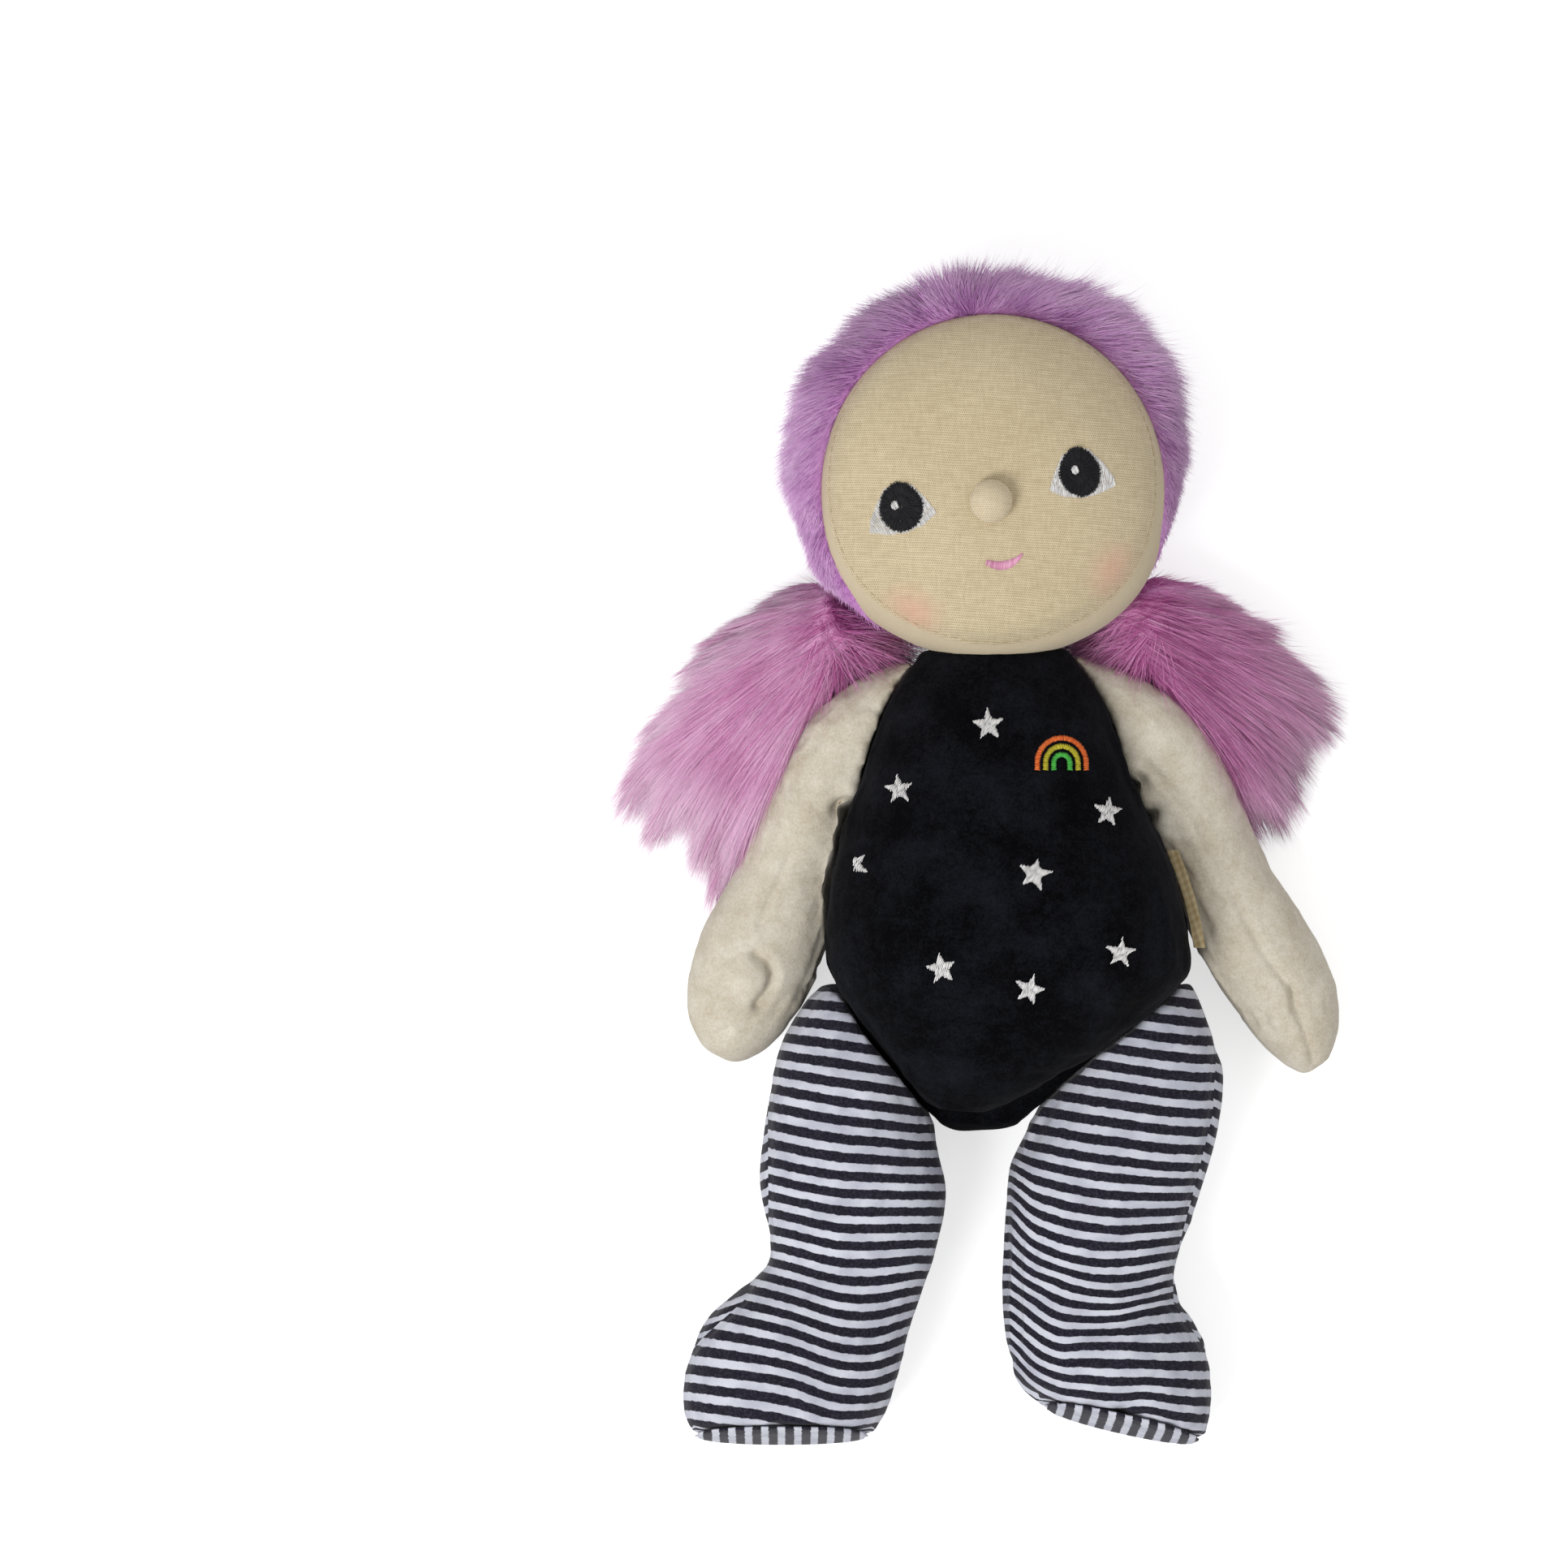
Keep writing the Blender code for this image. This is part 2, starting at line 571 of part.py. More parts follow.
def head_pieces():
    """The stuffed head and everything sewn to it."""
    piece("head", *head_form(), "velour_cream")
    piece("face_panel", *face_panel_form(), "cotton")
    cap = piece("hair_cap", *hair_cap_form(), "fur_lilac")
    join_or_cut(cap, [cutter(*head_form(CLEARANCE))], "DIFFERENCE")
    panel_top = CLEARANCE + PANEL_THICKNESS
    first = panel_top + CLEARANCE
    second = first + THREAD_THICKNESS + CLEARANCE
    third = second + THREAD_THICKNESS + CLEARANCE
    for name, side in (("right", -1), ("left", 1)):
        x, y = side * EYE_SPACING / 2 - FACE_SHIFT, -EYE_DROP
        half, tall = EYE_WHITE_WIDTH / 2, IRIS_HEIGHT / 2
        # From the outer corner, under the iris to the inner corner, and over the top.
        white = [(side, -0.76), (side * 0.5, -0.97), (0.0, -1.03), (side * -0.55, -0.86), (side * -0.97, -0.50),
                 (side * -0.74, 0.12), (side * -0.42, 0.74), (0.0, 0.98), (side * 0.40, 0.80),
                 (side * 0.78, 0.10), (side * 0.97, -0.42)]
        white = [(x + u * half, y + v * tall) for u, v in white]
        pad(f"eye_white_{name}", white, face_point, first, "thread_white")
        pad(f"iris_{name}", ellipse(x, y, IRIS_WIDTH, IRIS_HEIGHT, point=0.12), face_point, second, "thread_black")
        glint = ellipse(x - IRIS_WIDTH * 0.11, y + IRIS_HEIGHT * 0.05, GLINT_WIDTH, GLINT_WIDTH * 1.2, count=10)
        pad(f"eye_glint_{name}", glint, face_point, third, "thread_white", rings=(1.0,))
    smile = [(MOUTH_WIDTH * (i / 8 - 0.5) - FACE_SHIFT, -MOUTH_DROP + MOUTH_THICKNESS * 0.42 * (2 * i / 8 - 1) ** 2)
             for i in range(9)]
    band("mouth", smile, MOUTH_THICKNESS, face_point, first, "thread_pink")
    nose_piece(panel_top)


def nose_piece(panel_top):
    """A stuffed ball, flattened where it is sewn to the face."""
    middle = face_point(-FACE_SHIFT, -NOSE_DROP, panel_top)
    around, lifts = 16, [math.radians(a) for a in (-60, -30, 0, 30, 60)]
    radius = NOSE_DIAMETER / 2
    squash = 0.86
    centre = middle + Vector((0, 0, radius * squash * 0.45))

    def ring(lift):
        return [centre + Vector((math.cos(FULL_TURN * j / around) * math.cos(lift) * radius,
                                 math.sin(FULL_TURN * j / around) * math.cos(lift) * radius,
                                 math.sin(lift) * radius * squash)) for j in range(around)]

    rows = [centre - Vector((0, 0, radius * squash))] + [ring(lift) for lift in lifts]
    rows += [centre + Vector((0, 0, radius * squash))]
    nose = piece("nose", *revolved(rows, TABLE), "cotton")
    grown = face_panel_form(-NOSE_DIAMETER, panel_top + CLEARANCE)
    join_or_cut(nose, [cutter(*grown)], "DIFFERENCE")


# The body and limbs

BODY = Soft((BODY_X, BODY_TOP_Y), 0.0, 1, BODY_LENGTH, BODY_WIDTH, BODY_DEPTH,
            BODY_STATIONS, BODY_ROUNDNESS, BODY_SIDES)
SEAT = Soft((BODY_X, BODY_TOP_Y), 0.0, 1, BODY_LENGTH, BODY_WIDTH, BODY_DEPTH,
            SEAT_STATIONS, BODY_ROUNDNESS, BODY_SIDES)
RIGHT_ARM = Soft((BODY_X - BODY_WIDTH * 0.20, BODY_TOP_Y - BODY_LENGTH * 0.10), math.radians(27.3), -1,
                 RIGHT_ARM_LENGTH, ARM_WIDTH, ARM_DEPTH, RIGHT_ARM_STATIONS, ARM_ROUNDNESS, LIMB_SIDES)
LEFT_ARM = Soft((BODY_X + BODY_WIDTH * 0.245, BODY_TOP_Y - BODY_LENGTH * 0.10), math.radians(31.9), 1,
                LEFT_ARM_LENGTH, ARM_WIDTH, ARM_DEPTH, LEFT_ARM_STATIONS, ARM_ROUNDNESS, LIMB_SIDES)
RIGHT_LEG = Soft((BODY_X - BODY_WIDTH * 0.363, BODY_TOP_Y - BODY_LENGTH * 0.730), 0.0, -1,
                 RIGHT_LEG_LENGTH, LEG_WIDTH, LEG_DEPTH, RIGHT_LEG_STATIONS, LEG_ROUNDNESS, LIMB_SIDES)
LEFT_LEG = Soft((BODY_X + BODY_WIDTH * 0.363, BODY_TOP_Y - BODY_LENGTH * 0.730), 0.0, 1,
                LEFT_LEG_LENGTH, LEG_WIDTH, LEG_DEPTH, LEFT_LEG_STATIONS, LEG_ROUNDNESS, LIMB_SIDES)


def body_surface(x, y, offset=0.0):
    """The point of the body's front over (x, y) on the table, that far outside it."""
    def height(px, py):
        along = (BODY_TOP_Y - py) / BODY_LENGTH
        row = [np.interp(along, BODY.rows[:, 0], BODY.rows[:, k]) for k in range(6)]
        out = min(abs(px - BODY.middle(row).x) / (row[2] * BODY_WIDTH), 0.995)
        rise = (row[4] - row[3]) / 2 * BODY_DEPTH
        return (row[4] + row[3]) / 2 * BODY_DEPTH + rise * (1 - out**BODY_ROUNDNESS) ** (1 / BODY_ROUNDNESS)
    z, step = height(x, y), BODY_LENGTH / 140
    normal = Vector((height(x - step, y) - height(x + step, y), height(x, y - step) - height(x, y + step), 2 * step))
    return Vector((x, y, z)) + normal.normalized() * offset


def body_place(along, across):
    """Where on the table a mark sewn to the body lies."""
    row = [np.interp(along, BODY.rows[:, 0], BODY.rows[:, k]) for k in range(6)]
    return BODY_X + across * BODY_WIDTH, BODY_TOP_Y - row[0] * BODY_LENGTH


def body_pieces():
    """The front and back of the body, and what is sewn on them."""
    for name, form, part in (("body_front", BODY, "front"), ("body_back", SEAT, "back")):
        half = piece(name, *form.mesh(part=part), "velour_navy")
        join_or_cut(half, [cutter(*head_form(CLEARANCE)), cutter(*hair_cap_form(CLEARANCE))], "DIFFERENCE")
    for i, (along, across, size, turn) in enumerate(STARS):
        x, y = body_place(along, across)
        outline = []
        for k in range(2 * STAR_POINTS):
            angle = FULL_TURN * k / (2 * STAR_POINTS) + math.pi / 2 + math.radians(turn)
            reach = STAR_WIDTH / 2 * size * (1.0 if k % 2 == 0 else STAR_WAIST)
            outline.append((x + math.cos(angle) * reach, y + math.sin(angle) * reach))
        pad(f"star_{i + 1}", outline, body_surface, CLEARANCE, "thread_white")
    x, y = body_place(RAINBOW_ALONG, RAINBOW_ACROSS)
    for k, colour in enumerate(("orange", "yellow", "green")):
        radius = (RAINBOW_WIDTH - RAINBOW_BAND) / 2 - k * RAINBOW_BAND * 1.52
        leg = RAINBOW_WIDTH * 0.14
        arc = [(x + radius * math.cos(a), y + leg + radius * math.sin(a))
               for a in [math.pi * i / 12 for i in range(13)]]
        line = [(x + radius, y)] + arc + [(x - radius, y)]
        band(f"rainbow_{colour}", line, RAINBOW_BAND, body_surface, CLEARANCE, f"thread_{colour}")


def label_piece():
    """The bare fabric label, a folded tab sewn into the body's left side seam."""
    first, steps = 0.445, 4
    points = []
    for i in range(steps + 1):
        along = first + LABEL_LENGTH / BODY_LENGTH * i / steps
        row = [np.interp(along, SEAT.rows[:, 0], SEAT.rows[:, k]) for k in range(6)]
        edge = SEAT.middle(row) + SEAT.across * (row[2] * BODY_WIDTH)
        seam = (row[3] + row[4]) / 2 * BODY_DEPTH
        for out, up in ((CLEARANCE, 0), (LABEL_WIDTH, LABEL_WIDTH * 0.5),
                        (LABEL_WIDTH, LABEL_WIDTH * 0.5 + LABEL_THICKNESS), (CLEARANCE, LABEL_THICKNESS)):
            points.append(edge + Vector((out, 0, seam + up)))
    faces = [(i * 4 + j, i * 4 + (j + 1) % 4, i * 4 + 4 + (j + 1) % 4, i * 4 + 4 + j)
             for i in range(steps) for j in range(4)]
    faces += [(3, 2, 1, 0), tuple(range(steps * 4, steps * 4 + 4))]
    piece("side_label", points, faces, "label_tan")


def thumb_form(grow=0.0):
    """The short thumb that stands up from the inner side of the right hand. The left one is turned under its hand."""
    arm = RIGHT_ARM
    row = [np.interp(THUMB_ALONG, arm.rows[:, 0], arm.rows[:, k]) for k in range(6)]
    root = arm.middle(row) + arm.across * (THUMB_ACROSS * arm.width) + Vector((0, 0, row[4] * arm.depth * 0.88))
    around, lifts = 12, [math.radians(a) for a in (-55, -20, 15, 50)]

    def at(angle, lift):
        return (root + arm.along * (math.cos(lift) * math.sin(angle) * (THUMB_LENGTH / 2 + grow))
                + arm.across * (math.cos(lift) * math.cos(angle) * (THUMB_WIDTH / 2 + grow))
                + Vector((0, 0, math.sin(lift) * (THUMB_WIDTH / 2 + grow))))

    rows = [at(0, -math.pi / 2)] + [[at(FULL_TURN * j / around, lift) for j in range(around)] for lift in lifts]
    return revolved(rows + [at(0, math.pi / 2)], TABLE)


def arm_pieces():
    """Both arms, cut to seat against the body, the head and the hair."""
    for name, arm in (("arm_right", RIGHT_ARM), ("arm_left", LEFT_ARM)):
        made = piece(name, *arm.mesh(), "velour_cream")
        if arm is RIGHT_ARM:
            join_or_cut(made, [cutter(*thumb_form())], "UNION")
        grown = [BODY.mesh(CLEARANCE), SEAT.mesh(CLEARANCE), head_form(CLEARANCE), hair_cap_form(CLEARANCE)]
        join_or_cut(made, [cutter(*form) for form in grown], "DIFFERENCE")


def leg_pieces():
    """Both legs with their soles, cut to seat against the body and the arms."""
    for side, leg in (("right", RIGHT_LEG), ("left", LEFT_LEG)):
        made = piece(f"leg_{side}", *leg.mesh(), "velour_stripe")
        grown = [BODY.mesh(CLEARANCE), SEAT.mesh(CLEARANCE), RIGHT_ARM.mesh(CLEARANCE), LEFT_ARM.mesh(CLEARANCE)]
        join_or_cut(made, [cutter(*form) for form in grown], "DIFFERENCE")
        last = leg.rows[-1].copy()
        last[2] *= SOLE_SHARE
        turn = math.radians(last[5])
        down = leg.along * math.cos(turn) - leg.across * math.sin(turn)
        near = [p + down * CLEARANCE for p in leg.section(last)]
        middle = sum(near, Vector()) / len(near)
        crown = [middle + (p - middle) * 0.72 + down * (CLEARANCE + SOLE_THICKNESS) for p in leg.section(last)]
        far = [p + down * SOLE_THICKNESS * 0.6 for p in near]
        count = len(near)
        faces = [(i * count + j, i * count + (j + 1) % count, (i + 1) * count + (j + 1) % count, (i + 1) * count + j)
                 for i in range(2) for j in range(count)]
        faces += [tuple(reversed(range(count))), tuple(range(2 * count, 3 * count))]
        piece(f"sole_{side}", near + far + crown, faces, "velour_stripe")


# The pigtails

def pigtail_form(root, side, outline):
    """A flattened fan of long fur, thick at its root and thin at the points of its locks, lying on the table."""
    rows = [root + Vector((0, 0, TABLE))]
    for surface, order in (("under", PIGTAIL_PROFILE), ("top", reversed(PIGTAIL_PROFILE))):
        for share, top, under in order:
            z = PIGTAIL_DEPTH * (top if surface == "top" else under)
            rows.append([root + Vector((side * x * share, y * share, 0)) * PIGTAIL_LENGTH + Vector((0, 0, z))
                         for x, y in outline])
    rows.append(root + Vector((0, 0, PIGTAIL_DEPTH)))
    return revolved(rows, TABLE)


def pigtail_pieces():
    """Both pigtails, cut to seat against the head, the hair, the arms and the body."""
    for name, side, outline, arm in (("pigtail_right", -1, RIGHT_PIGTAIL, RIGHT_ARM),
                                     ("pigtail_left", 1, LEFT_PIGTAIL, LEFT_ARM)):
        root = HEAD_MIDDLE + Vector((side * HEAD_RADIUS * 0.74, -HEAD_RADIUS * 0.78, -HEAD_MIDDLE.z))
        made = piece(name, *pigtail_form(root, side, outline), "fur_pink")
        grown = [head_form(CLEARANCE), hair_cap_form(CLEARANCE), arm.mesh(CLEARANCE),
                 BODY.mesh(CLEARANCE), SEAT.mesh(CLEARANCE)]
        join_or_cut(made, [cutter(*form) for form in grown], "DIFFERENCE")


def main():
    for old in list(bpy.data.objects):
        bpy.data.objects.remove(old)
    head_pieces()
    body_pieces()
    label_piece()
    arm_pieces()
    leg_pieces()
    pigtail_pieces()


main()
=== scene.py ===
"""A rag doll lying on its back: stuffed velour body and limbs, a round woven face, and long fur for hair."""
import math
import bmesh
import bpy
import numpy as np
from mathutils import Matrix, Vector, noise
from mathutils.bvhtree import BVHTree


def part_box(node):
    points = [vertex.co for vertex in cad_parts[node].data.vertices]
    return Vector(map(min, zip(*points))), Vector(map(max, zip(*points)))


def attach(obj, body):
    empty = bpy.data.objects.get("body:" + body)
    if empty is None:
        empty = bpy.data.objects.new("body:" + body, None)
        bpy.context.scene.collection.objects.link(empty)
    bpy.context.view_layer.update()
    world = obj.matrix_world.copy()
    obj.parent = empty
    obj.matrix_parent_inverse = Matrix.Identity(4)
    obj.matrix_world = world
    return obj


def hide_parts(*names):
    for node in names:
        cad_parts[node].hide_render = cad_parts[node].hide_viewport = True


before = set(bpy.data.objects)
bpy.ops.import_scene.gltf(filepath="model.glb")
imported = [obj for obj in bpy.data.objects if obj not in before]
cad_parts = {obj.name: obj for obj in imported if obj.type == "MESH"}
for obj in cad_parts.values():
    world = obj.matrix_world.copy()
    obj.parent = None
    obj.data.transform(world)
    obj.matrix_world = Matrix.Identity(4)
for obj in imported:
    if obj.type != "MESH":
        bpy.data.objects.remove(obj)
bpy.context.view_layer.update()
SCENE = bpy.context.scene
FULL_TURN = 2 * math.pi
MM = 0.001

# The camera looks straight down on the table. A pixel is one of the 1932 of the square picture's width.
CAMERA_AT = Vector((-0.05804, 0.0227, 2.045))
FOCAL_PIXELS = 8333.0
MIDDLE_PIXEL = 966.0
PIXEL = 0.24 * MM            # on the doll's upper side

# The head, as the frame has it
HEAD_RADIUS = 51.3 * MM
HEAD_DEPTH = 78 * MM
HEAD_FULLNESS = 2.4
HEAD_TILT = math.radians(11)
HEAD_LOW, HEAD_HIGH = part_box("head")
HEAD_MIDDLE = Vector(((HEAD_LOW.x + HEAD_HIGH.x) / 2, (HEAD_LOW.y + HEAD_HIGH.y) / 2,
                      HEAD_HIGH.z - HEAD_DEPTH / 2))
FACE_RIGHT = Vector((math.cos(HEAD_TILT), math.sin(HEAD_TILT), 0))
FACE_UP = Vector((-math.sin(HEAD_TILT), math.cos(HEAD_TILT), 0))
CHEEK_FULLNESS = 0.047
CHEEKS = (204, 312)          # degrees from the face's own +x
CHEEK_SPREAD = 25
CHIN = 262
CHIN_SPREAD = 34
CHIN_DROP = 0.030            # the stuffed chin bulges over the body
PILE_SWEEP = ((36, 26, 5.0 * MM), (139, 20, 3.2 * MM), (344, 28, -4.2 * MM), (198, 24, -3.6 * MM))
SEAM_INSET_TOP = 1.3 * MM    # from the head's side to the face's seam
SEAM_INSET_CHIN = 4.5 * MM
FACE_SHIFT = 1.9 * MM        # eyes and mouth sit this far to the face's right side
EYE_SPACING = 51.7 * MM
EYE_LINE = -2.2 * MM
EYE_WIDTH, EYE_HEIGHT = 19.4 * MM, 14.4 * MM
MOUTH_LINE = -24.3 * MM
MOUTH_WIDTH, MOUTH_CURVE = 10.6 * MM, 1.9 * MM
TOP_STITCH, TOP_STITCH_PITCH, TOP_STITCH_INSET = 2.3 * MM, 3.0 * MM, 0.9 * MM
NOSE_FLATNESS = 0.86
CHEEK_BLUSHES = ((1127, 752, 0.46), (1369, 701, 0.42))    # pixels across and down, and how deep
CLOTH_STEPS = 20
SINK = 0.25 * MM             # how far stuffed cloth may fall in
THREAD = 0.19 * MM           # radius of the embroidery thread
TABLE_CLEAR = 0.6 * MM       # fibres that would reach lower are laid along the table
TABLE_SOFTNESS = 12 * MM
FUR_SOFTNESS = 0.75          # how far a fibre is shaded as the skin that it grows from
FUR_GLOW = 0.9               # and how far as if it faced up, because light passes through its edge


# Plain helpers

def seen(points):
    """Where the camera sees each point, in pixels across and down."""
    points = np.asarray(points, float).reshape(-1, 3)
    away = CAMERA_AT.z - points[:, 2]
    across = MIDDLE_PIXEL + (points[:, 0] - CAMERA_AT.x) * FOCAL_PIXELS / away
    down = MIDDLE_PIXEL - (points[:, 1] - CAMERA_AT.y) * FOCAL_PIXELS / away
    return np.stack([across, down], axis=1)


def under(across, down, height):
    """The point at that height under a pixel."""
    away = CAMERA_AT.z - height
    return Vector((CAMERA_AT.x + (across - MIDDLE_PIXEL) / FOCAL_PIXELS * away,
                   CAMERA_AT.y - (down - MIDDLE_PIXEL) / FOCAL_PIXELS * away, height))


def mesh_object(name, points, faces, edges=()):
    mesh = bpy.data.meshes.new(name)
    mesh.from_pydata([tuple(p) for p in points], list(edges), list(faces))
    mesh.validate()
    made = bpy.data.objects.new(name, mesh)
    SCENE.collection.objects.link(made)
    return made


def point_array(piece):
    found = np.zeros(len(piece.data.vertices) * 3)
    piece.data.vertices.foreach_get("co", found)
    return found.reshape(-1, 3)


def normal_array(piece):
    return np.array([v.normal for v in piece.data.vertices], float).reshape(-1, 3)


def move_to(piece, points):
    piece.data.vertices.foreach_set("co", np.asarray(points, np.float32).ravel())
    piece.data.update()


def give(piece, name, values):
    """Stores a number or a vector for each point of the mesh."""
    values = np.asarray(values, np.float32)
    kind, key = ("FLOAT_VECTOR", "vector") if values.ndim == 2 else ("FLOAT", "value")
    attribute = piece.data.attributes.get(name) or piece.data.attributes.new(name, kind, "POINT")
    attribute.data.foreach_set(key, values.ravel())


def settle(piece):
    """Applies the piece's modifiers and leaves a plain mesh."""
    view = bpy.context.evaluated_depsgraph_get()
    mesh = bpy.data.meshes.new_from_object(piece.evaluated_get(view), preserve_all_data_layers=True,
                                           depsgraph=view)
    piece.modifiers.clear()
    piece.data = mesh
    return piece


def smooth_shaded(piece):
    piece.data.polygons.foreach_set("use_smooth", [True] * len(piece.data.polygons))
    return piece


def finish(piece, material, slot, *nodes, fill=None):
    """Gives a piece its material and its place in the frame."""
    piece.data.materials.clear()
    piece.data.materials.append(material)
    smooth_shaded(piece)
    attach(piece, "root")
    if nodes:
        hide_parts(*nodes)
    return piece


def soft_step(values, low, high):
    t = np.clip((np.asarray(values, float) - low) / (high - low), 0, 1)
    return t * t * (3 - 2 * t)


def read_line(values, xs, ys):
    """A table of straight stretches, kept straight beyond both ends."""
    values = np.asarray(values, float)
    found = np.interp(values, xs, ys)
    first = (ys[1] - ys[0]) / (xs[1] - xs[0])
    last = (ys[-1] - ys[-2]) / (xs[-1] - xs[-2])
    return found + np.minimum(values - xs[0], 0) * first + np.maximum(values - xs[-1], 0) * last


def distance_to_line(at, line):
    """How far each point of the picture lies from a line of points, in pixels."""
    best = np.full(len(at), 1e9)
    for a, b in zip(line[:-1], line[1:]):
        a, b = np.array(a, float), np.array(b, float)
        t = np.clip(((at - a) @ (b - a)) / ((b - a) @ (b - a)), 0, 1)
        best = np.minimum(best, np.linalg.norm(at - (a + t[:, None] * (b - a)), axis=1))
    return best


def waves(points, pitch, seed):
    """Smooth noise from -1 to 1, one value a point."""
    shift = Vector((seed * 7.3, seed * 3.1, seed * 5.7))
    return np.array([noise.noise(Vector(p) / pitch + shift) for p in points])


def lattice(rows):
    """Points and faces of a closed form from full rings, with a single point at each end."""
    count, inner = len(rows[1]), len(rows) - 2
    points = [p for row in rows[1:-1] for p in row] + [rows[0], rows[-1]]
    faces = [(i * count + j, i * count + (j + 1) % count,
              (i + 1) * count + (j + 1) % count, (i + 1) * count + j)
             for i in range(inner - 1) for j in range(count)]
    first, last = len(points) - 2, len(points) - 1
    faces += [(first, (j + 1) % count, j) for j in range(count)]
    faces += [(last, (inner - 1) * count + j, (inner - 1) * count + (j + 1) % count) for j in range(count)]
    return points, faces


def facing_out(piece):
    """Turns the faces outwards."""
    shape = bmesh.new()
    shape.from_mesh(piece.data)
    bmesh.ops.recalc_face_normals(shape, faces=shape.faces)
    if shape.calc_volume(signed=True) < 0:
        bmesh.ops.reverse_faces(shape, faces=shape.faces)
    shape.to_mesh(piece.data)
    shape.free()
    return piece


# Nodes

def put(tree, kind, inputs=None, **settings):
    """Adds a node. An input is a value, or the socket that feeds it."""
    node = tree.nodes.new(kind)
    for key, value in settings.items():
        setattr(node, key, value)
    for key, value in (inputs or {}).items():
        if isinstance(value, bpy.types.NodeSocket):
            tree.links.new(value, node.inputs[key])
        else:
            node.inputs[key].default_value = value
    return node


def calc(tree, operation, a, b=0.0, c=0.0):
    return put(tree, "ShaderNodeMath", {0: a, 1: b, 2: c}, operation=operation).outputs[0]


def vector_calc(tree, operation, a, b=(0, 0, 0), scale=1.0):
    node = put(tree, "ShaderNodeVectorMath", {0: a, 1: b}, operation=operation)
    if isinstance(scale, bpy.types.NodeSocket):
        tree.links.new(scale, node.inputs[3])
    elif operation == "SCALE":
        node.inputs[3].default_value = scale
    return node.outputs["Value" if operation in ("LENGTH", "DISTANCE", "DOT_PRODUCT") else "Vector"]


def between(tree, value, low, high, start=0.0, end=1.0):
    """A smooth step from start to end while the value goes from low to high."""
    return put(tree, "ShaderNodeMapRange", {"Value": value, "From Min": low, "From Max": high,
                                            "To Min": start, "To Max": end},
               interpolation_type="SMOOTHSTEP").outputs["Result"]


def tinted(tree, share, first, second, way="MIX"):
    return put(tree, "ShaderNodeMix", {0: share, 6: first, 7: second}, data_type="RGBA",
               blend_type=way).outputs[2]


def cloudy(tree, place, scale, detail=2.0, rough=0.5):
    return put(tree, "ShaderNodeTexNoise", {"Vector": place, "Scale": scale, "Detail": detail,
                                            "Roughness": rough}).outputs["Fac"]


def dye(red, green, blue):
    """A colour as seen, from 0 to 255, for a shader."""
    def plain(c):
        c /= 255
        return c / 12.92 if c <= 0.04045 else ((c + 0.055) / 1.055) ** 2.4
    return (plain(red), plain(green), plain(blue), 1.0)


def new_finish(name, roughness=0.9, sheen=0.0, sheen_roughness=0.4, specular=0.3):
    """A material with its shader's plain values set, and the places that its pattern reads."""
    material = bpy.data.materials.new(name)
    material.use_nodes = True
    tree = material.node_tree
    shader = tree.nodes["Principled BSDF"]
    shader.inputs["Roughness"].default_value = roughness
    shader.inputs["Specular IOR Level"].default_value = specular
    shader.inputs["Sheen Weight"].default_value = sheen
    shader.inputs["Sheen Roughness"].default_value = sheen_roughness
    place = put(tree, "ShaderNodeTexCoord").outputs["Object"]
    return material, tree, shader, place


def relief_from(tree, shader, height, distance, strength=1.0):
    bump = put(tree, "ShaderNodeBump", {"Height": height, "Distance": distance, "Strength": strength})
    tree.links.new(bump.outputs["Normal"], shader.inputs["Normal"])


def stored(tree, name, output="Fac"):
    return put(tree, "ShaderNodeAttribute", attribute_name=name).outputs[output]


# Materials

def velour(name, light, dark, sheen, patch=0.5, speckle=0.5, patch_size=12 * MM):
    """Short brushed pile: soft patches where it lies another way, and a fine grain."""
    material, tree, shader, place = new_finish(name, 0.95, sheen, 0.45, 0.06)
    brushed = cloudy(tree, place, 1 / patch_size, 3.0)
    grain = cloudy(tree, place, 1300.0, 2.0)
    tufts = cloudy(tree, place, 420.0, 2.0)
    share = calc(tree, "MULTIPLY_ADD", calc(tree, "SUBTRACT", brushed, 0.5), patch * 2.4, 0.35)
    share = calc(tree, "ADD", share,
                 calc(tree, "MULTIPLY", calc(tree, "SUBTRACT", grain, 0.5), speckle * 1.6))
    share = calc(tree, "ADD", share, calc(tree, "MULTIPLY", calc(tree, "SUBTRACT", tufts, 0.5), speckle))
    share = put(tree, "ShaderNodeClamp", {"Value": share}).outputs[0]
    tree.links.new(tinted(tree, share, light, dark), shader.inputs["Base Color"])
    height = calc(tree, "MULTIPLY_ADD", grain, 0.4, calc(tree, "MULTIPLY", tufts, 0.6))
    relief_from(tree, shader, height, 0.5 * MM, 0.45)
    return material


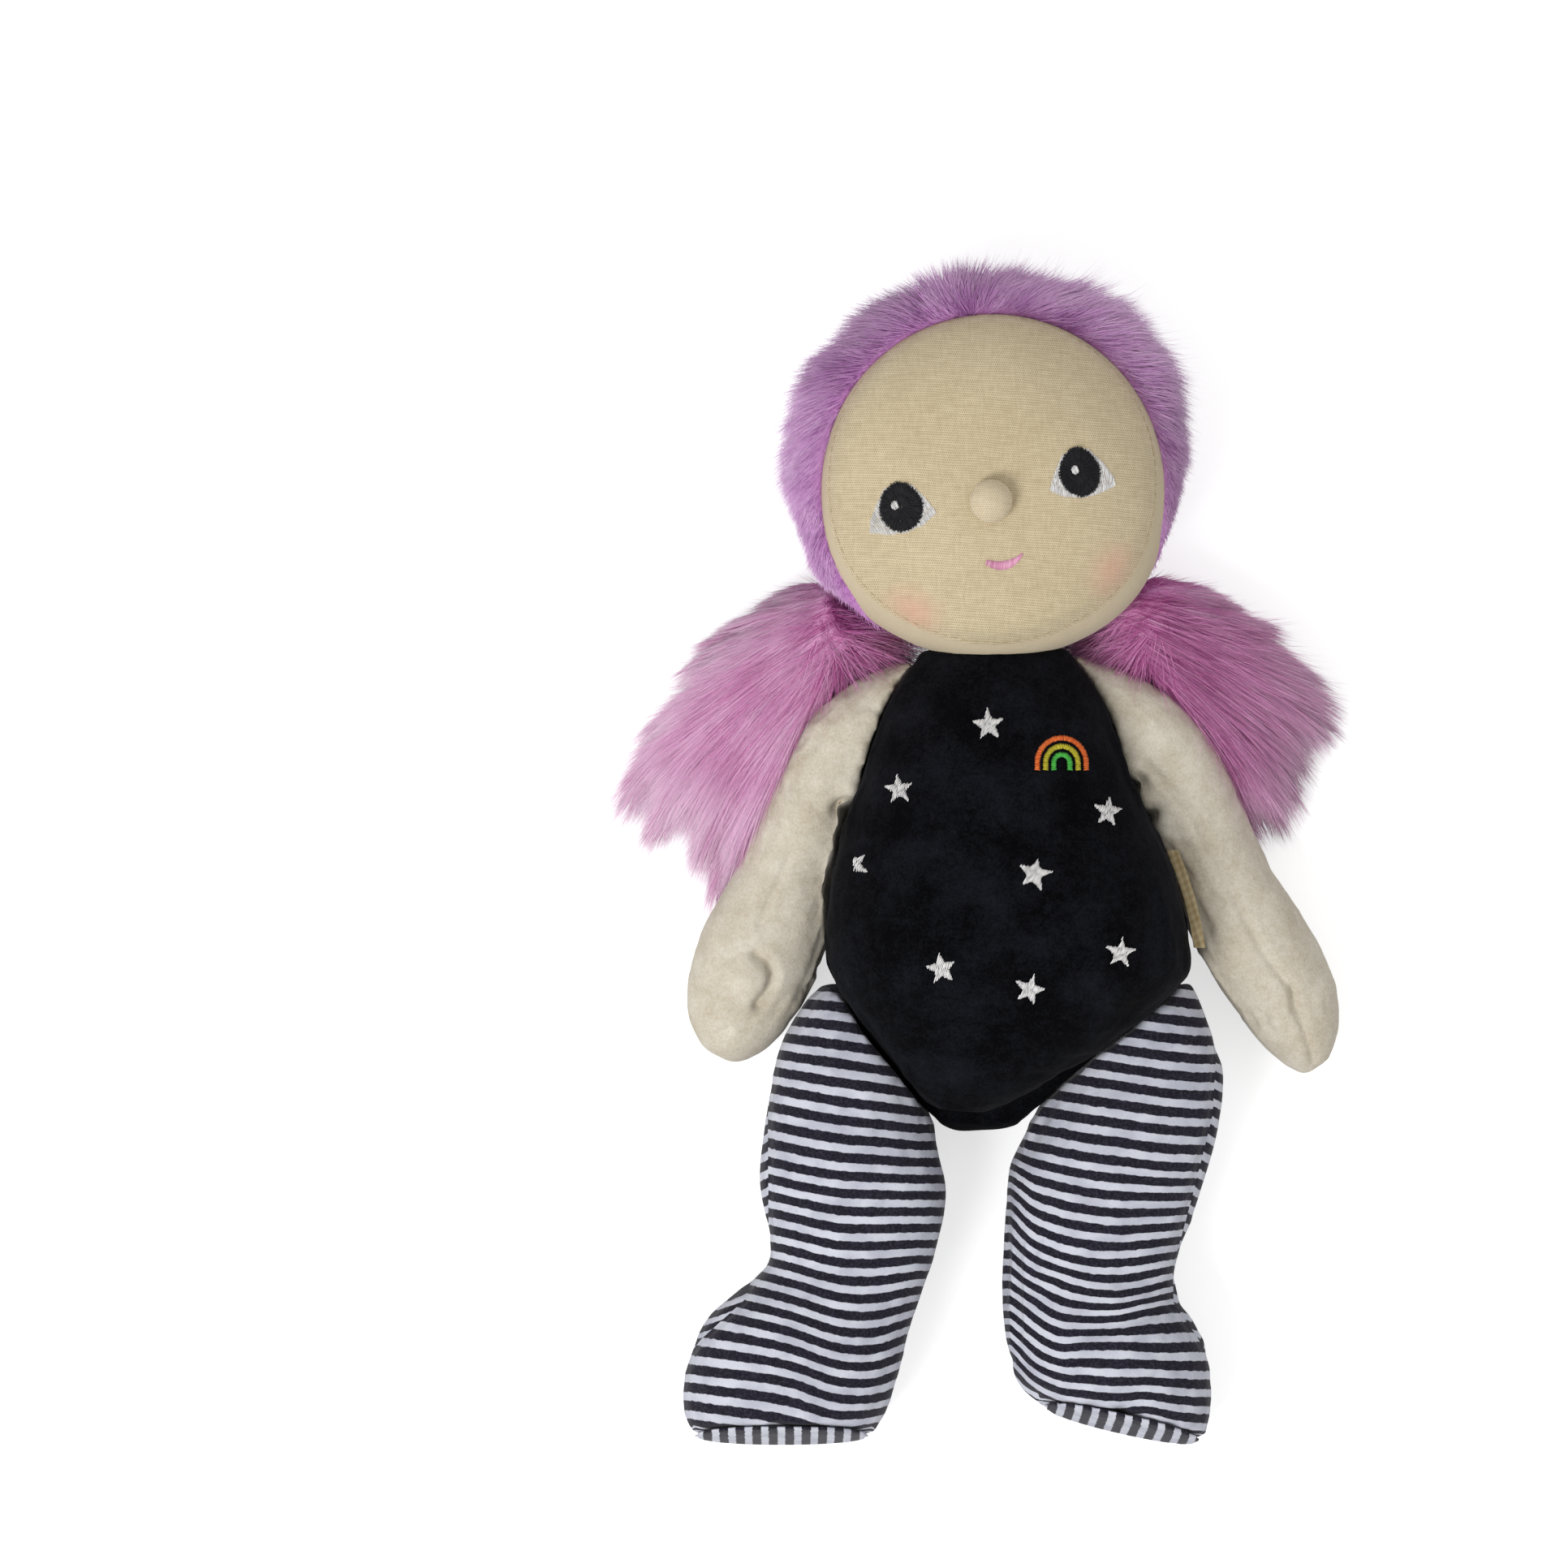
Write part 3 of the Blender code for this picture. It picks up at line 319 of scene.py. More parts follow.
def striped_velour(name):
    """White and dark stripes that follow the cloth. The back panel's stripes are cut another way."""
    material, tree, shader, place = new_finish(name, 0.95, 0.12, 0.45, 0.1)
    grain = cloudy(tree, place, 1300.0, 2.0)
    tufts = cloudy(tree, place, 420.0, 2.0)
    ragged = calc(tree, "MULTIPLY", calc(tree, "SUBTRACT", tufts, 0.5), 0.16)

    def bands(phase):
        part = calc(tree, "FRACT", calc(tree, "ADD", phase, ragged))
        return between(tree, calc(tree, "ABSOLUTE", calc(tree, "SUBTRACT", part, 0.5)), 0.245, 0.305)

    back = calc(tree, "GREATER_THAN", stored(tree, "side"), 0.5)
    front_bands, back_bands = bands(stored(tree, "stripe")), bands(stored(tree, "stripe_back"))
    share = put(tree, "ShaderNodeMix", {0: back, 2: front_bands, 3: back_bands}, data_type="FLOAT").outputs[0]
    brushed = cloudy(tree, place, 110.0, 2.0)
    white = tinted(tree, between(tree, brushed, 0.3, 0.75), dye(205, 207, 217), dye(178, 180, 193))
    dark = tinted(tree, between(tree, grain, 0.35, 0.8), dye(28, 26, 36), dye(52, 50, 62))
    white = tinted(tree, between(tree, grain, 0.5, 0.85, 0.0, 0.35), white, dye(150, 152, 166))
    tree.links.new(tinted(tree, share, dark, white), shader.inputs["Base Color"])
    height = calc(tree, "MULTIPLY_ADD", grain, 0.4, calc(tree, "MULTIPLY", tufts, 0.6))
    relief_from(tree, shader, height, 0.5 * MM, 0.4)
    return material


COTTON_WEFT, COTTON_WARP = 0.62 * MM, 0.70 * MM
BLUSH = dye(224, 158, 142)


def woven_cotton(name, light, dark, turn, blush=()):
    """Plain-woven cotton with its threads showing, and soft round blushes."""
    material, tree, shader, place = new_finish(name, 0.9, 0.15, 0.5, 0.25)
    sway = put(tree, "ShaderNodeTexNoise", {"Vector": place, "Scale": 60.0, "Detail": 2.0}).outputs["Color"]
    sway = vector_calc(tree, "SCALE", vector_calc(tree, "SUBTRACT", sway, (0.5, 0.5, 0.5)), scale=1.1 * MM)
    at = put(tree, "ShaderNodeMapping", {"Vector": vector_calc(tree, "ADD", place, sway),
                                         "Rotation": (0, 0, -turn),
                                         "Scale": (1 / COTTON_WEFT, 1 / COTTON_WARP, 0)}).outputs[0]
    axes = put(tree, "ShaderNodeSeparateXYZ", {0: at})
    row = calc(tree, "FLOOR", axes.outputs["Y"])
    stagger = calc(tree, "MULTIPLY", calc(tree, "PINGPONG", row, 1.0), 0.5)
    along = calc(tree, "SINE", calc(tree, "MULTIPLY", calc(tree, "ADD", axes.outputs["X"], stagger),
                                    FULL_TURN))
    down = calc(tree, "SINE", calc(tree, "MULTIPLY", axes.outputs["Y"], FULL_TURN))
    threads = calc(tree, "ADD", calc(tree, "MULTIPLY", down, 0.22), calc(tree, "MULTIPLY", along, 0.28))
    crossing = calc(tree, "MULTIPLY", calc(tree, "ADD", along, down), -1.0)
    holes = between(tree, crossing, 0.3, 1.6)
    slubs = []
    for stretch in ((190.0, 1100.0, 1.0), (1200.0, 230.0, 1.0)):
        slub = put(tree, "ShaderNodeMapping", {"Vector": place, "Rotation": (0, 0, -turn),
                                               "Scale": stretch}).outputs[0]
        slubs.append(calc(tree, "SUBTRACT", cloudy(tree, slub, 1.0, 3.0), 0.5))
    thick = calc(tree, "ADD", calc(tree, "MULTIPLY", slubs[0], 0.85), calc(tree, "MULTIPLY", slubs[1], 0.7))
    height = calc(tree, "ADD", calc(tree, "ADD", threads, 0.5), calc(tree, "MULTIPLY", thick, 0.4))
    broad = cloudy(tree, place, 45.0, 2.0)
    share = calc(tree, "ADD", calc(tree, "ADD", 0.66, thick), calc(tree, "MULTIPLY", threads, 0.35))
    share = calc(tree, "ADD", share, calc(tree, "MULTIPLY", calc(tree, "SUBTRACT", broad, 0.5), 0.35))
    share = calc(tree, "SUBTRACT", share, calc(tree, "MULTIPLY", holes, 0.95))
    share = put(tree, "ShaderNodeClamp", {"Value": share}).outputs[0]
    colour = tinted(tree, share, dark, light)
    for centre, reach, depth in blush:
        away = vector_calc(tree, "DISTANCE", place, tuple(centre))
        unevenness = calc(tree, "SUBTRACT", cloudy(tree, place, 160.0), 0.5)
        away = calc(tree, "ADD", away, calc(tree, "MULTIPLY", unevenness, 5 * MM))
        colour = tinted(tree, between(tree, away, 0.0, reach, depth, 0.0), colour, BLUSH)
    tree.links.new(colour, shader.inputs["Base Color"])
    relief_from(tree, shader, height, 0.12 * MM, 0.8)
    return material


def thread(name, light, dark, roughness=0.5, specular=0.4):
    """Shiny embroidery thread, each stitch a little lighter or darker."""
    material, tree, shader, place = new_finish(name, roughness, 0.0, 0.3, specular)
    fibre = cloudy(tree, place, 2200.0, 2.0)
    share = calc(tree, "MULTIPLY_ADD", stored(tree, "tint"), 0.7, calc(tree, "MULTIPLY", fibre, 0.3))
    tree.links.new(tinted(tree, share, dark, light), shader.inputs["Base Color"])
    relief_from(tree, shader, fibre, 0.08 * MM, 0.5)
    return material


def fur(name, deep, middle, light, tips):
    """Long fibres: deep at the root and pale at the tips, in lighter and darker locks."""
    material, tree, shader, place = new_finish(name, 0.7, 0.05, 0.35, 0.12)
    # tint carries the skin's tone, which on the pigtails holds painted light and shade as well as the locks
    tint = stored(tree, "tint")
    colour = tinted(tree, between(tree, tint, 0.12, 0.50), deep, middle)
    colour = tinted(tree, between(tree, tint, 0.45, 0.90), colour, light)
    fleck = cloudy(tree, place, 500.0, 2.0)
    colour = tinted(tree, calc(tree, "MULTIPLY", between(tree, fleck, 0.5, 0.8), 0.25), colour, light)
    along = stored(tree, "along")
    # pale: paler tips, on the pigtails partly painted light
    fading = calc(tree, "MULTIPLY", between(tree, along, 0.40, 1.05), stored(tree, "pale"))
    colour = tinted(tree, fading, colour, tips)
    tree.links.new(colour, shader.inputs["Base Color"])
    return material


def fur_ground(name, deep, middle, light):
    """The matted fur under the free fibres: fine streaks along the way that it is combed."""
    material, tree, shader, _ = new_finish(name, 0.9, 0.05, 0.4, 0.1)
    flow = stored(tree, "flow", "Vector")
    streak = put(tree, "ShaderNodeMapping", {"Vector": flow, "Scale": (900.0, 60.0, 60.0)}).outputs[0]
    lock = put(tree, "ShaderNodeMapping", {"Vector": flow, "Scale": (210.0, 16.0, 16.0)}).outputs[0]
    fine, broad = cloudy(tree, streak, 1.0, 3.0), cloudy(tree, lock, 1.0, 2.0)
    share = calc(tree, "MULTIPLY_ADD", fine, 0.7, calc(tree, "MULTIPLY", broad, 0.9))
    # tone, on the pigtails, holds painted light and shade as well as the fur's own colour
    share = calc(tree, "ADD", share,
                 calc(tree, "MULTIPLY", calc(tree, "SUBTRACT", stored(tree, "tone"), 0.5), 0.7))
    colour = tinted(tree, between(tree, share, 0.40, 0.80), deep, middle)
    colour = tinted(tree, between(tree, share, 0.75, 1.25), colour, light)
    tree.links.new(colour, shader.inputs["Base Color"])
    relief_from(tree, shader, calc(tree, "ADD", fine, calc(tree, "MULTIPLY", broad, 1.5)), 0.9 * MM, 0.7)
    return material


def woven_tape(name, light, dark):
    """Ribbed tape."""
    material, tree, shader, place = new_finish(name, 0.8, 0.1, 0.4, 0.3)
    axes = put(tree, "ShaderNodeSeparateXYZ", {0: put(tree, "ShaderNodeMapping", {
        "Vector": place, "Rotation": (0, 0, -1.2), "Scale": (2600.0, 1900.0, 1900.0)}).outputs[0]})
    ribs = calc(tree, "MULTIPLY", calc(tree, "SINE", axes.outputs["X"]),
                calc(tree, "SINE", axes.outputs["Y"]))
    share = calc(tree, "MULTIPLY_ADD", ribs, 0.35, cloudy(tree, place, 300.0))
    tree.links.new(tinted(tree, share, dark, light), shader.inputs["Base Color"])
    relief_from(tree, shader, ribs, 0.1 * MM, 0.6)
    return material


CREAM = velour("cream velour", dye(214, 207, 192), dye(178, 166, 143), 0.12, patch=0.5, speckle=0.6,
               patch_size=10 * MM)
JERSEY = velour("cream jersey", dye(205, 191, 163), dye(184, 169, 143), 0.12, patch=0.25, speckle=0.25)
NAVY = velour("navy velour", dye(3, 3, 5), dye(23, 24, 30), 0.015, patch=0.8, speckle=0.8,
              patch_size=15 * MM)
STRIPED = striped_velour("striped velour")
WHITE_THREAD = thread("white thread", dye(250, 248, 246), dye(196, 194, 194))
BLACK_THREAD = thread("black thread", dye(30, 30, 34), dye(12, 12, 14), 0.6, 0.22)
PINK_THREAD = thread("pink thread", dye(240, 188, 212), dye(202, 124, 160))
BEIGE_THREAD = thread("beige thread", dye(196, 178, 146), dye(158, 140, 108))
ORANGE_THREAD = thread("orange thread", dye(244, 130, 56), dye(206, 84, 30))
YELLOW_THREAD = thread("yellow thread", dye(214, 204, 56), dye(172, 160, 34))
GREEN_THREAD = thread("green thread", dye(92, 206, 84), dye(52, 158, 52))
# The grounds' colours are a little darker than their fibres': painted shade under the free fibres.
LILAC_GROUND = fur_ground("lilac fur ground", dye(140, 86, 144), dye(190, 128, 190),
                          dye(216, 164, 214))
LILAC_FUR = fur("lilac fur", dye(158, 98, 160), dye(206, 146, 206), dye(228, 184, 226),
                dye(246, 232, 246))
# painted shade: darker than the pink fibres, as under them
PINK_GROUND = fur_ground("pink fur ground", dye(168, 78, 138), dye(220, 138, 194), dye(240, 186, 224))
PINK_FUR = fur("pink fur", dye(176, 82, 144), dye(226, 146, 200), dye(246, 200, 232),
               dye(250, 240, 247))
TAPE = woven_tape("tan tape", dye(226, 208, 166), dye(186, 160, 112))


# Fur and stitches, grown by Geometry Nodes

def new_tree(name, inputs):
    """A Geometry Nodes tree with named inputs, its input sockets by name, and its output node."""
    tree = bpy.data.node_groups.new(name, "GeometryNodeTree")
    tree.interface.new_socket("Geometry", in_out="INPUT", socket_type="NodeSocketGeometry")
    for label, kind in inputs:
        tree.interface.new_socket(label, in_out="INPUT", socket_type="NodeSocket" + kind)
    tree.interface.new_socket("Geometry", in_out="OUTPUT", socket_type="NodeSocketGeometry")
    entry = put(tree, "NodeGroupInput")
    return tree, {s.name: s for s in entry.outputs}, put(tree, "NodeGroupOutput")


def named(tree, name, kind="FLOAT"):
    return put(tree, "GeometryNodeInputNamedAttribute", {"Name": name}, data_type=kind).outputs[0]


def chance(tree, low, high, seed, kind="FLOAT"):
    first = 0 if kind == "FLOAT_VECTOR" else 2
    node = put(tree, "FunctionNodeRandomValue", {first: low, first + 1: high, 8: seed}, data_type=kind)
    return node.outputs[0 if kind == "FLOAT_VECTOR" else 1]


def last_steps(tree, geometry, material, exit_node):
    real = put(tree, "GeometryNodeRealizeInstances", {0: geometry}).outputs[0]
    dressed = put(tree, "GeometryNodeSetMaterial", {"Geometry": real, "Material": material}).outputs[0]
    tree.links.new(dressed, exit_node.inputs[0])


def fur_tree():
    """Grows tapered fibres from a skin. Its points store comb, cover, reach, tone and pale."""
    tree, given, exit_node = new_tree("fur", (
        ("Density", "Float"), ("Seed", "Int"), ("Length", "Float"), ("Width", "Float"), ("Lift", "Float"),
        ("Stray", "Float"), ("Locks", "Float"), ("Lock Size", "Float"), ("Bend", "Float"),
        ("Segments", "Int"), ("Material", "Material")))
    seeds = [calc(tree, "ADD", given["Seed"], float(i)) for i in range(6)]
    density = calc(tree, "MULTIPLY", given["Density"], named(tree, "cover"))
    spread = put(tree, "GeometryNodeDistributePointsOnFaces",
                 {"Mesh": given["Geometry"], "Density": density, "Seed": given["Seed"]})
    place = put(tree, "GeometryNodeInputPosition").outputs[0]
    lock_at = vector_calc(tree, "SCALE", place, scale=calc(tree, "DIVIDE", 1.0, given["Lock Size"]))
    locks = put(tree, "ShaderNodeTexNoise", {"Vector": lock_at, "Scale": 1.0, "Detail": 1.0})
    lean = vector_calc(tree, "SCALE", vector_calc(tree, "SUBTRACT", locks.outputs["Color"], (0.5, 0.5, 0.5)),
                       scale=calc(tree, "MULTIPLY", given["Locks"], 2.0))
    stray = vector_calc(tree, "SCALE", chance(tree, (-1, -1, -1), (1, 1, 1), seeds[1], "FLOAT_VECTOR"),
                        scale=given["Stray"])
    raised = vector_calc(tree, "SCALE", spread.outputs["Normal"], scale=given["Lift"])
    way = vector_calc(tree, "ADD", vector_calc(tree, "ADD", named(tree, "comb", "FLOAT_VECTOR"), raised),
                      vector_calc(tree, "ADD", lean, stray))
    aligned = put(tree, "FunctionNodeAlignRotationToVector", {"Vector": way}, axis="Z").outputs[0]
    length = calc(tree, "MULTIPLY", calc(tree, "MULTIPLY", given["Length"], named(tree, "reach")),
                  chance(tree, 0.50, 1.25, seeds[2]))
    width = calc(tree, "MULTIPLY", given["Width"], chance(tree, 0.7, 1.25, seeds[3]))
    size = put(tree, "ShaderNodeCombineXYZ", {0: width, 1: width, 2: length}).outputs[0]
    fibre = put(tree, "GeometryNodeMeshCone", {
        "Vertices": 3, "Side Segments": given["Segments"], "Radius Top": 0.0, "Radius Bottom": 0.5,
        "Depth": 1.0}, fill_type="NGON").outputs["Mesh"]
    along = put(tree, "ShaderNodeSeparateXYZ", {0: place}).outputs["Z"]
    fibre = put(tree, "GeometryNodeStoreNamedAttribute", {"Geometry": fibre, "Name": "along", "Value": along},
                data_type="FLOAT", domain="POINT").outputs[0]
    droop = calc(tree, "MULTIPLY", calc(tree, "MULTIPLY", along, along), given["Bend"])
    fibre = put(tree, "GeometryNodeSetPosition", {"Geometry": fibre, "Offset": put(
        tree, "ShaderNodeCombineXYZ", {0: droop}).outputs[0]}).outputs[0]
    points = put(tree, "GeometryNodeStoreNamedAttribute", {
        "Geometry": spread.outputs["Points"], "Name": "skin", "Value": spread.outputs["Normal"]},
        data_type="FLOAT_VECTOR", domain="POINT").outputs[0]
    grown = put(tree, "GeometryNodeInstanceOnPoints", {
        "Points": points, "Instance": fibre, "Rotation": aligned, "Scale": size}).outputs[0]
    # tone, on the pigtails, holds painted light and shade as well as the fur's own colour
    tint = calc(tree, "ADD", calc(tree, "MULTIPLY", chance(tree, 0.0, 1.0, seeds[4]), 0.42),
                calc(tree, "ADD", calc(tree, "MULTIPLY", named(tree, "tone"), 0.5),
                     calc(tree, "MULTIPLY", calc(tree, "SUBTRACT", locks.outputs["Fac"], 0.5), 0.9)))
    grown = put(tree, "GeometryNodeStoreNamedAttribute", {"Geometry": grown, "Name": "tint", "Value": tint},
                data_type="FLOAT", domain="INSTANCE").outputs[0]
    grown = put(tree, "GeometryNodeStoreNamedAttribute", {"Geometry": grown, "Name": "pale", "Value": named(
        tree, "pale")}, data_type="FLOAT", domain="INSTANCE").outputs[0]
    last_steps(tree, grown, given["Material"], exit_node)
    return tree


def stitch_tree():
    """Lays a rounded, slightly arched thread along each edge. The edges' points store up."""
    tree, given, exit_node = new_tree("stitches", (
        ("Radius", "Float"), ("Arch", "Float"), ("Seed", "Int"), ("Material", "Material")))
    curve = put(tree, "GeometryNodeMeshToCurve", {0: given["Geometry"]}).outputs[0]
    tint = chance(tree, 0.0, 1.0, given["Seed"])
    curve = put(tree, "GeometryNodeStoreNamedAttribute", {"Geometry": curve, "Name": "tint", "Value": tint},
                data_type="FLOAT", domain="CURVE").outputs[0]
    curve = put(tree, "GeometryNodeResampleCurve", {"Curve": curve, "Count": 4}, mode="COUNT").outputs[0]
    along = put(tree, "GeometryNodeSplineParameter").outputs["Factor"]
    arch = calc(tree, "MULTIPLY", calc(tree, "MULTIPLY", along, calc(tree, "SUBTRACT", 1.0, along)), 4.0)
    rise = vector_calc(tree, "SCALE", named(tree, "up", "FLOAT_VECTOR"),
                       scale=calc(tree, "MULTIPLY", arch, given["Arch"]))
    curve = put(tree, "GeometryNodeSetPosition", {"Geometry": curve, "Offset": rise}).outputs[0]
    ring = put(tree, "GeometryNodeCurvePrimitiveCircle",
               {"Resolution": 5, "Radius": given["Radius"]}).outputs[0]
    girth = calc(tree, "ADD", 0.62, calc(tree, "MULTIPLY", arch, 0.38))
    laid = put(tree, "GeometryNodeCurveToMesh", {"Curve": curve, "Profile Curve": ring, "Scale": girth,
                                                 "Fill Caps": True}).outputs[0]
    last_steps(tree, laid, given["Material"], exit_node)
    return tree


FUR = fur_tree()
STITCHES = stitch_tree()


def grow(name, skin, tree, **inputs):
    """Runs a tree on the skin and returns what it makes as a piece of its own."""
    made = bpy.data.objects.new(name, skin.data)
    SCENE.collection.objects.link(made)
    modifier = made.modifiers.new(name, "NODES")
    modifier.node_group = tree
    for socket in tree.interface.items_tree:
        key = socket.name.replace(" ", "_").lower()
        if socket.in_out == "INPUT" and key in inputs:
            modifier[socket.identifier] = inputs[key]
    return settle(made)


def furred(name, skin, material, slot, node, **inputs):
    """Grows fibres from the skin. They are shaded much as the skin under them, as fine fur is."""
    piece = facing_out(grow(name, skin, FUR, material=material, **inputs))
    points = point_array(piece)
    sunk = np.clip((points[:, 2] - TABLE_CLEAR) / TABLE_SOFTNESS, -3, 0)
    points[:, 2] = np.where(points[:, 2] < TABLE_CLEAR, TABLE_CLEAR * np.exp(sunk), points[:, 2])
    move_to(piece, points)
    finish(piece, material, slot, node)
    found = np.zeros(len(piece.data.vertices) * 3)
    piece.data.attributes["skin"].data.foreach_get("vector", found)
    blend = FUR_SOFTNESS * found.reshape(-1, 3) + (1 - FUR_SOFTNESS) * normal_array(piece)
    blend += np.array((0, 0, FUR_GLOW))
    blend /= np.linalg.norm(blend, axis=1).clip(1e-6)[:, None]
    piece.data.attributes.remove(piece.data.attributes["skin"])
    piece.data.normals_split_custom_set_from_vertices(blend.tolist())
    return piece


def sewn(name, stitches, material, slot, *nodes, radius=THREAD, arch=0.16 * MM, seed=1):
    """Stitches given as (from, to, up) on a surface, made into threads."""
    points = [p for a, b, up in stitches for p in (a, b)]
    skin = mesh_object(name + "_lines", points, [], [(2 * i, 2 * i + 1) for i in range(len(stitches))])
    give(skin, "up", [tuple(up) for a, b, up in stitches for _ in range(2)])
    made = grow(name, skin, STITCHES, radius=radius, arch=arch, seed=seed, material=material)
    bpy.data.objects.remove(skin)
    return finish(facing_out(made), material, slot, *nodes)


# Stuffed pieces

def tree_of(nodes):
    """One search tree over the surfaces of several CAD nodes."""
    points, faces = [], []
    for name in nodes:
        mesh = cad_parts[name].data
        base = len(points)
        points += [v.co.copy() for v in mesh.vertices]
        faces += [tuple(base + i for i in p.vertices) for p in mesh.polygons]
    return BVHTree.FromPolygons(points, faces)


def distance_to(points, nodes):
    tree = tree_of(nodes)
    return np.array([tree.find_nearest(Vector(p))[3] for p in points])


def soft_copy(name, nodes, voxel, smoothing):
    """An even skin over copies of the CAD solids."""
    shape = bmesh.new()
    for node in nodes:
        shape.from_mesh(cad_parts[node].data)
    bmesh.ops.remove_doubles(shape, verts=shape.verts, dist=1e-6)
    mesh = bpy.data.meshes.new(name)
    shape.to_mesh(mesh)
    shape.free()
    piece = bpy.data.objects.new(name, mesh)
    SCENE.collection.objects.link(piece)
    remesh = piece.modifiers.new("even skin", "REMESH")
    remesh.mode = "VOXEL"
    remesh.voxel_size = voxel
    smooth = piece.modifiers.new("smooth", "SMOOTH")
    smooth.factor = 0.5
    smooth.iterations = smoothing
    return settle(piece)


def stuffed(piece, held, cap, slack=0.03, pressure=4.0):
    """Fills the piece under its cloth skin. The points marked in held are sewn down, and none of the others
    moves more than cap."""
    start, normals = point_array(piece), normal_array(piece)
    piece.vertex_groups.new(name="sewn").add([int(i) for i in np.nonzero(held)[0]], 1.0, "REPLACE")
    cloth = piece.modifiers.new("stuffing", "CLOTH")
    settings = cloth.settings
    settings.quality = 5
    settings.mass = 0.002
    settings.tension_stiffness = 6.0
    settings.compression_stiffness = 6.0
    settings.bending_stiffness = 0.02
    settings.use_pressure = True
    settings.uniform_pressure_force = pressure
    settings.shrink_min = -slack
    settings.vertex_group_mass = "sewn"
    settings.effector_weights.gravity = 0
    cloth.point_cache.frame_start = 1
    cloth.point_cache.frame_end = CLOTH_STEPS
    for step in range(1, CLOTH_STEPS + 1):
        SCENE.frame_set(step)
    settle(piece)
    SCENE.frame_set(1)
    moved = point_array(piece) - start
    far = np.linalg.norm(moved, axis=1)
    moved *= np.minimum(1.0, cap / np.maximum(far, 1e-9))[:, None]
    print(piece.name, "cloth moved", round(float(far.max()) * 1000, 2), "mm at most,",
          round(float(far.mean()) * 1000, 2), "mm on average")
    sunk = np.minimum((moved * normals).sum(axis=1) + SINK, 0)
    points = start + moved - normals * sunk[:, None]
    points[:, 2] = np.maximum(points[:, 2], 0.0)
    move_to(piece, points)
    piece.vertex_groups.clear()
    finer = piece.modifiers.new("finer", "SUBSURF")
    finer.levels = finer.render_levels = 1
    return settle(piece)


def relief(piece, grooves=(), dents=()):
    """Presses seams and dimples into the upper side: grooves are (line, width, depth) and dents
    (place, reach, depth), with the places in pixels and the rest in metres. A negative depth stands up."""
    points, normals = point_array(piece), normal_array(piece)
    at = seen(points)
    push = np.zeros(len(points))
    for line, width, depth in grooves:
        push -= depth * np.exp(-(distance_to_line(at, line) * PIXEL / width) ** 2)
    for place, reach, depth in dents:
        away = np.linalg.norm(at - np.array(place, float), axis=1) * PIXEL
        push -= depth * np.exp(-(away / reach) ** 2)
    push *= np.clip(normals[:, 2] * 3 + 0.8, 0, 1)
    points += normals * push[:, None]
    move_to(piece, points)


def creased(piece, pitch, height, seed, where=None):
    """Slight unevenness of stuffed cloth."""
    points, normals = point_array(piece), normal_array(piece)
    push = height * (0.7 * waves(points, pitch, seed) + 0.3 * waves(points, pitch / 2.3, seed + 1))
    if where is not None:
        push *= where(points)
    points += normals * push[:, None]
    points[:, 2] = np.maximum(points[:, 2], 0.0)
    move_to(piece, points)


# The body

def make_body():
    for name, node, others, voxel in (("body_front_cloth", "body_front", ("body_back",), 2.3 * MM),
                                      ("body_back_cloth", "body_back", ("body_front",), 2.8 * MM)):
        piece = soft_copy(name, (node,), voxel, 4)
        near = distance_to(point_array(piece),
                           others + ("arm_right", "arm_left", "leg_right", "leg_left", "head"))
        stuffed(piece, near < 1.5 * MM, 1.2 * MM)
        creased(piece, 16 * MM, 0.45 * MM, 3)
        if node == "body_front":
            relief(piece, dents=(((1210, 1245), 7 * MM, 0.5 * MM), ((1195, 1300), 9 * MM, -0.4 * MM),
                                 ((1150, 1210), 9 * MM, -0.4 * MM)))
        finish(piece, NAVY, "velour_navy", node, fill=0.8)


def enlarged(points, left, top=780):
    """Places read off an enlargement of the picture, in pixels of the picture."""
    return [(left + x / 2.8, top + y / 2.8) for x, y in points]


# Folds and dimples of the arms, as relief takes them
RIGHT_ARM_GROOVES = (
    (enlarged([(400, 770), (345, 890), (300, 1000)], 830), 1.1 * MM, 0.9 * MM),
    ([(932, 1176), (947, 1186), (954, 1203), (949, 1221), (934, 1238)], 1.6 * MM, 2.6 * MM),    # thumb
    (enlarged([(150, 1385), (185, 1370)], 830), 1.0 * MM, 0.9 * MM),
)
RIGHT_ARM_DENTS = (
    ((1036, 996), 2.8 * MM, 4.4 * MM), ((1028, 1022), 5 * MM, 1.6 * MM), ((1047, 972), 3 * MM, -1.8 * MM),
    ((1012, 1080), 7 * MM, 1.4 * MM), ((1015, 968), 4 * MM, -1.0 * MM), ((985, 1010), 6 * MM, -0.6 * MM),
    ((922, 1207), 5.5 * MM, -2.0 * MM),
)
LEFT_ARM_GROOVES = (
    (enlarged([(230, 450), (400, 630), (560, 960), (640, 1110), (740, 1240), (810, 1480)], 1330),
     1.2 * MM, 1.5 * MM),
    (enlarged([(735, 1230), (742, 1300)], 1330), 1.4 * MM, 1.4 * MM),
)
LEFT_ARM_DENTS = (
    ((1403, 966), 2.6 * MM, 2.6 * MM), ((1420, 1003), 2.4 * MM, 2.4 * MM), ((1393, 945), 4 * MM, -1.4 * MM),
    ((1412, 985), 4 * MM, -1.6 * MM), ((1432, 1022), 4 * MM, -1.4 * MM),
)


def beside_body(points):
    return np.exp(-(distance_to(points, ("body_front",)) / (9 * MM)) ** 2)


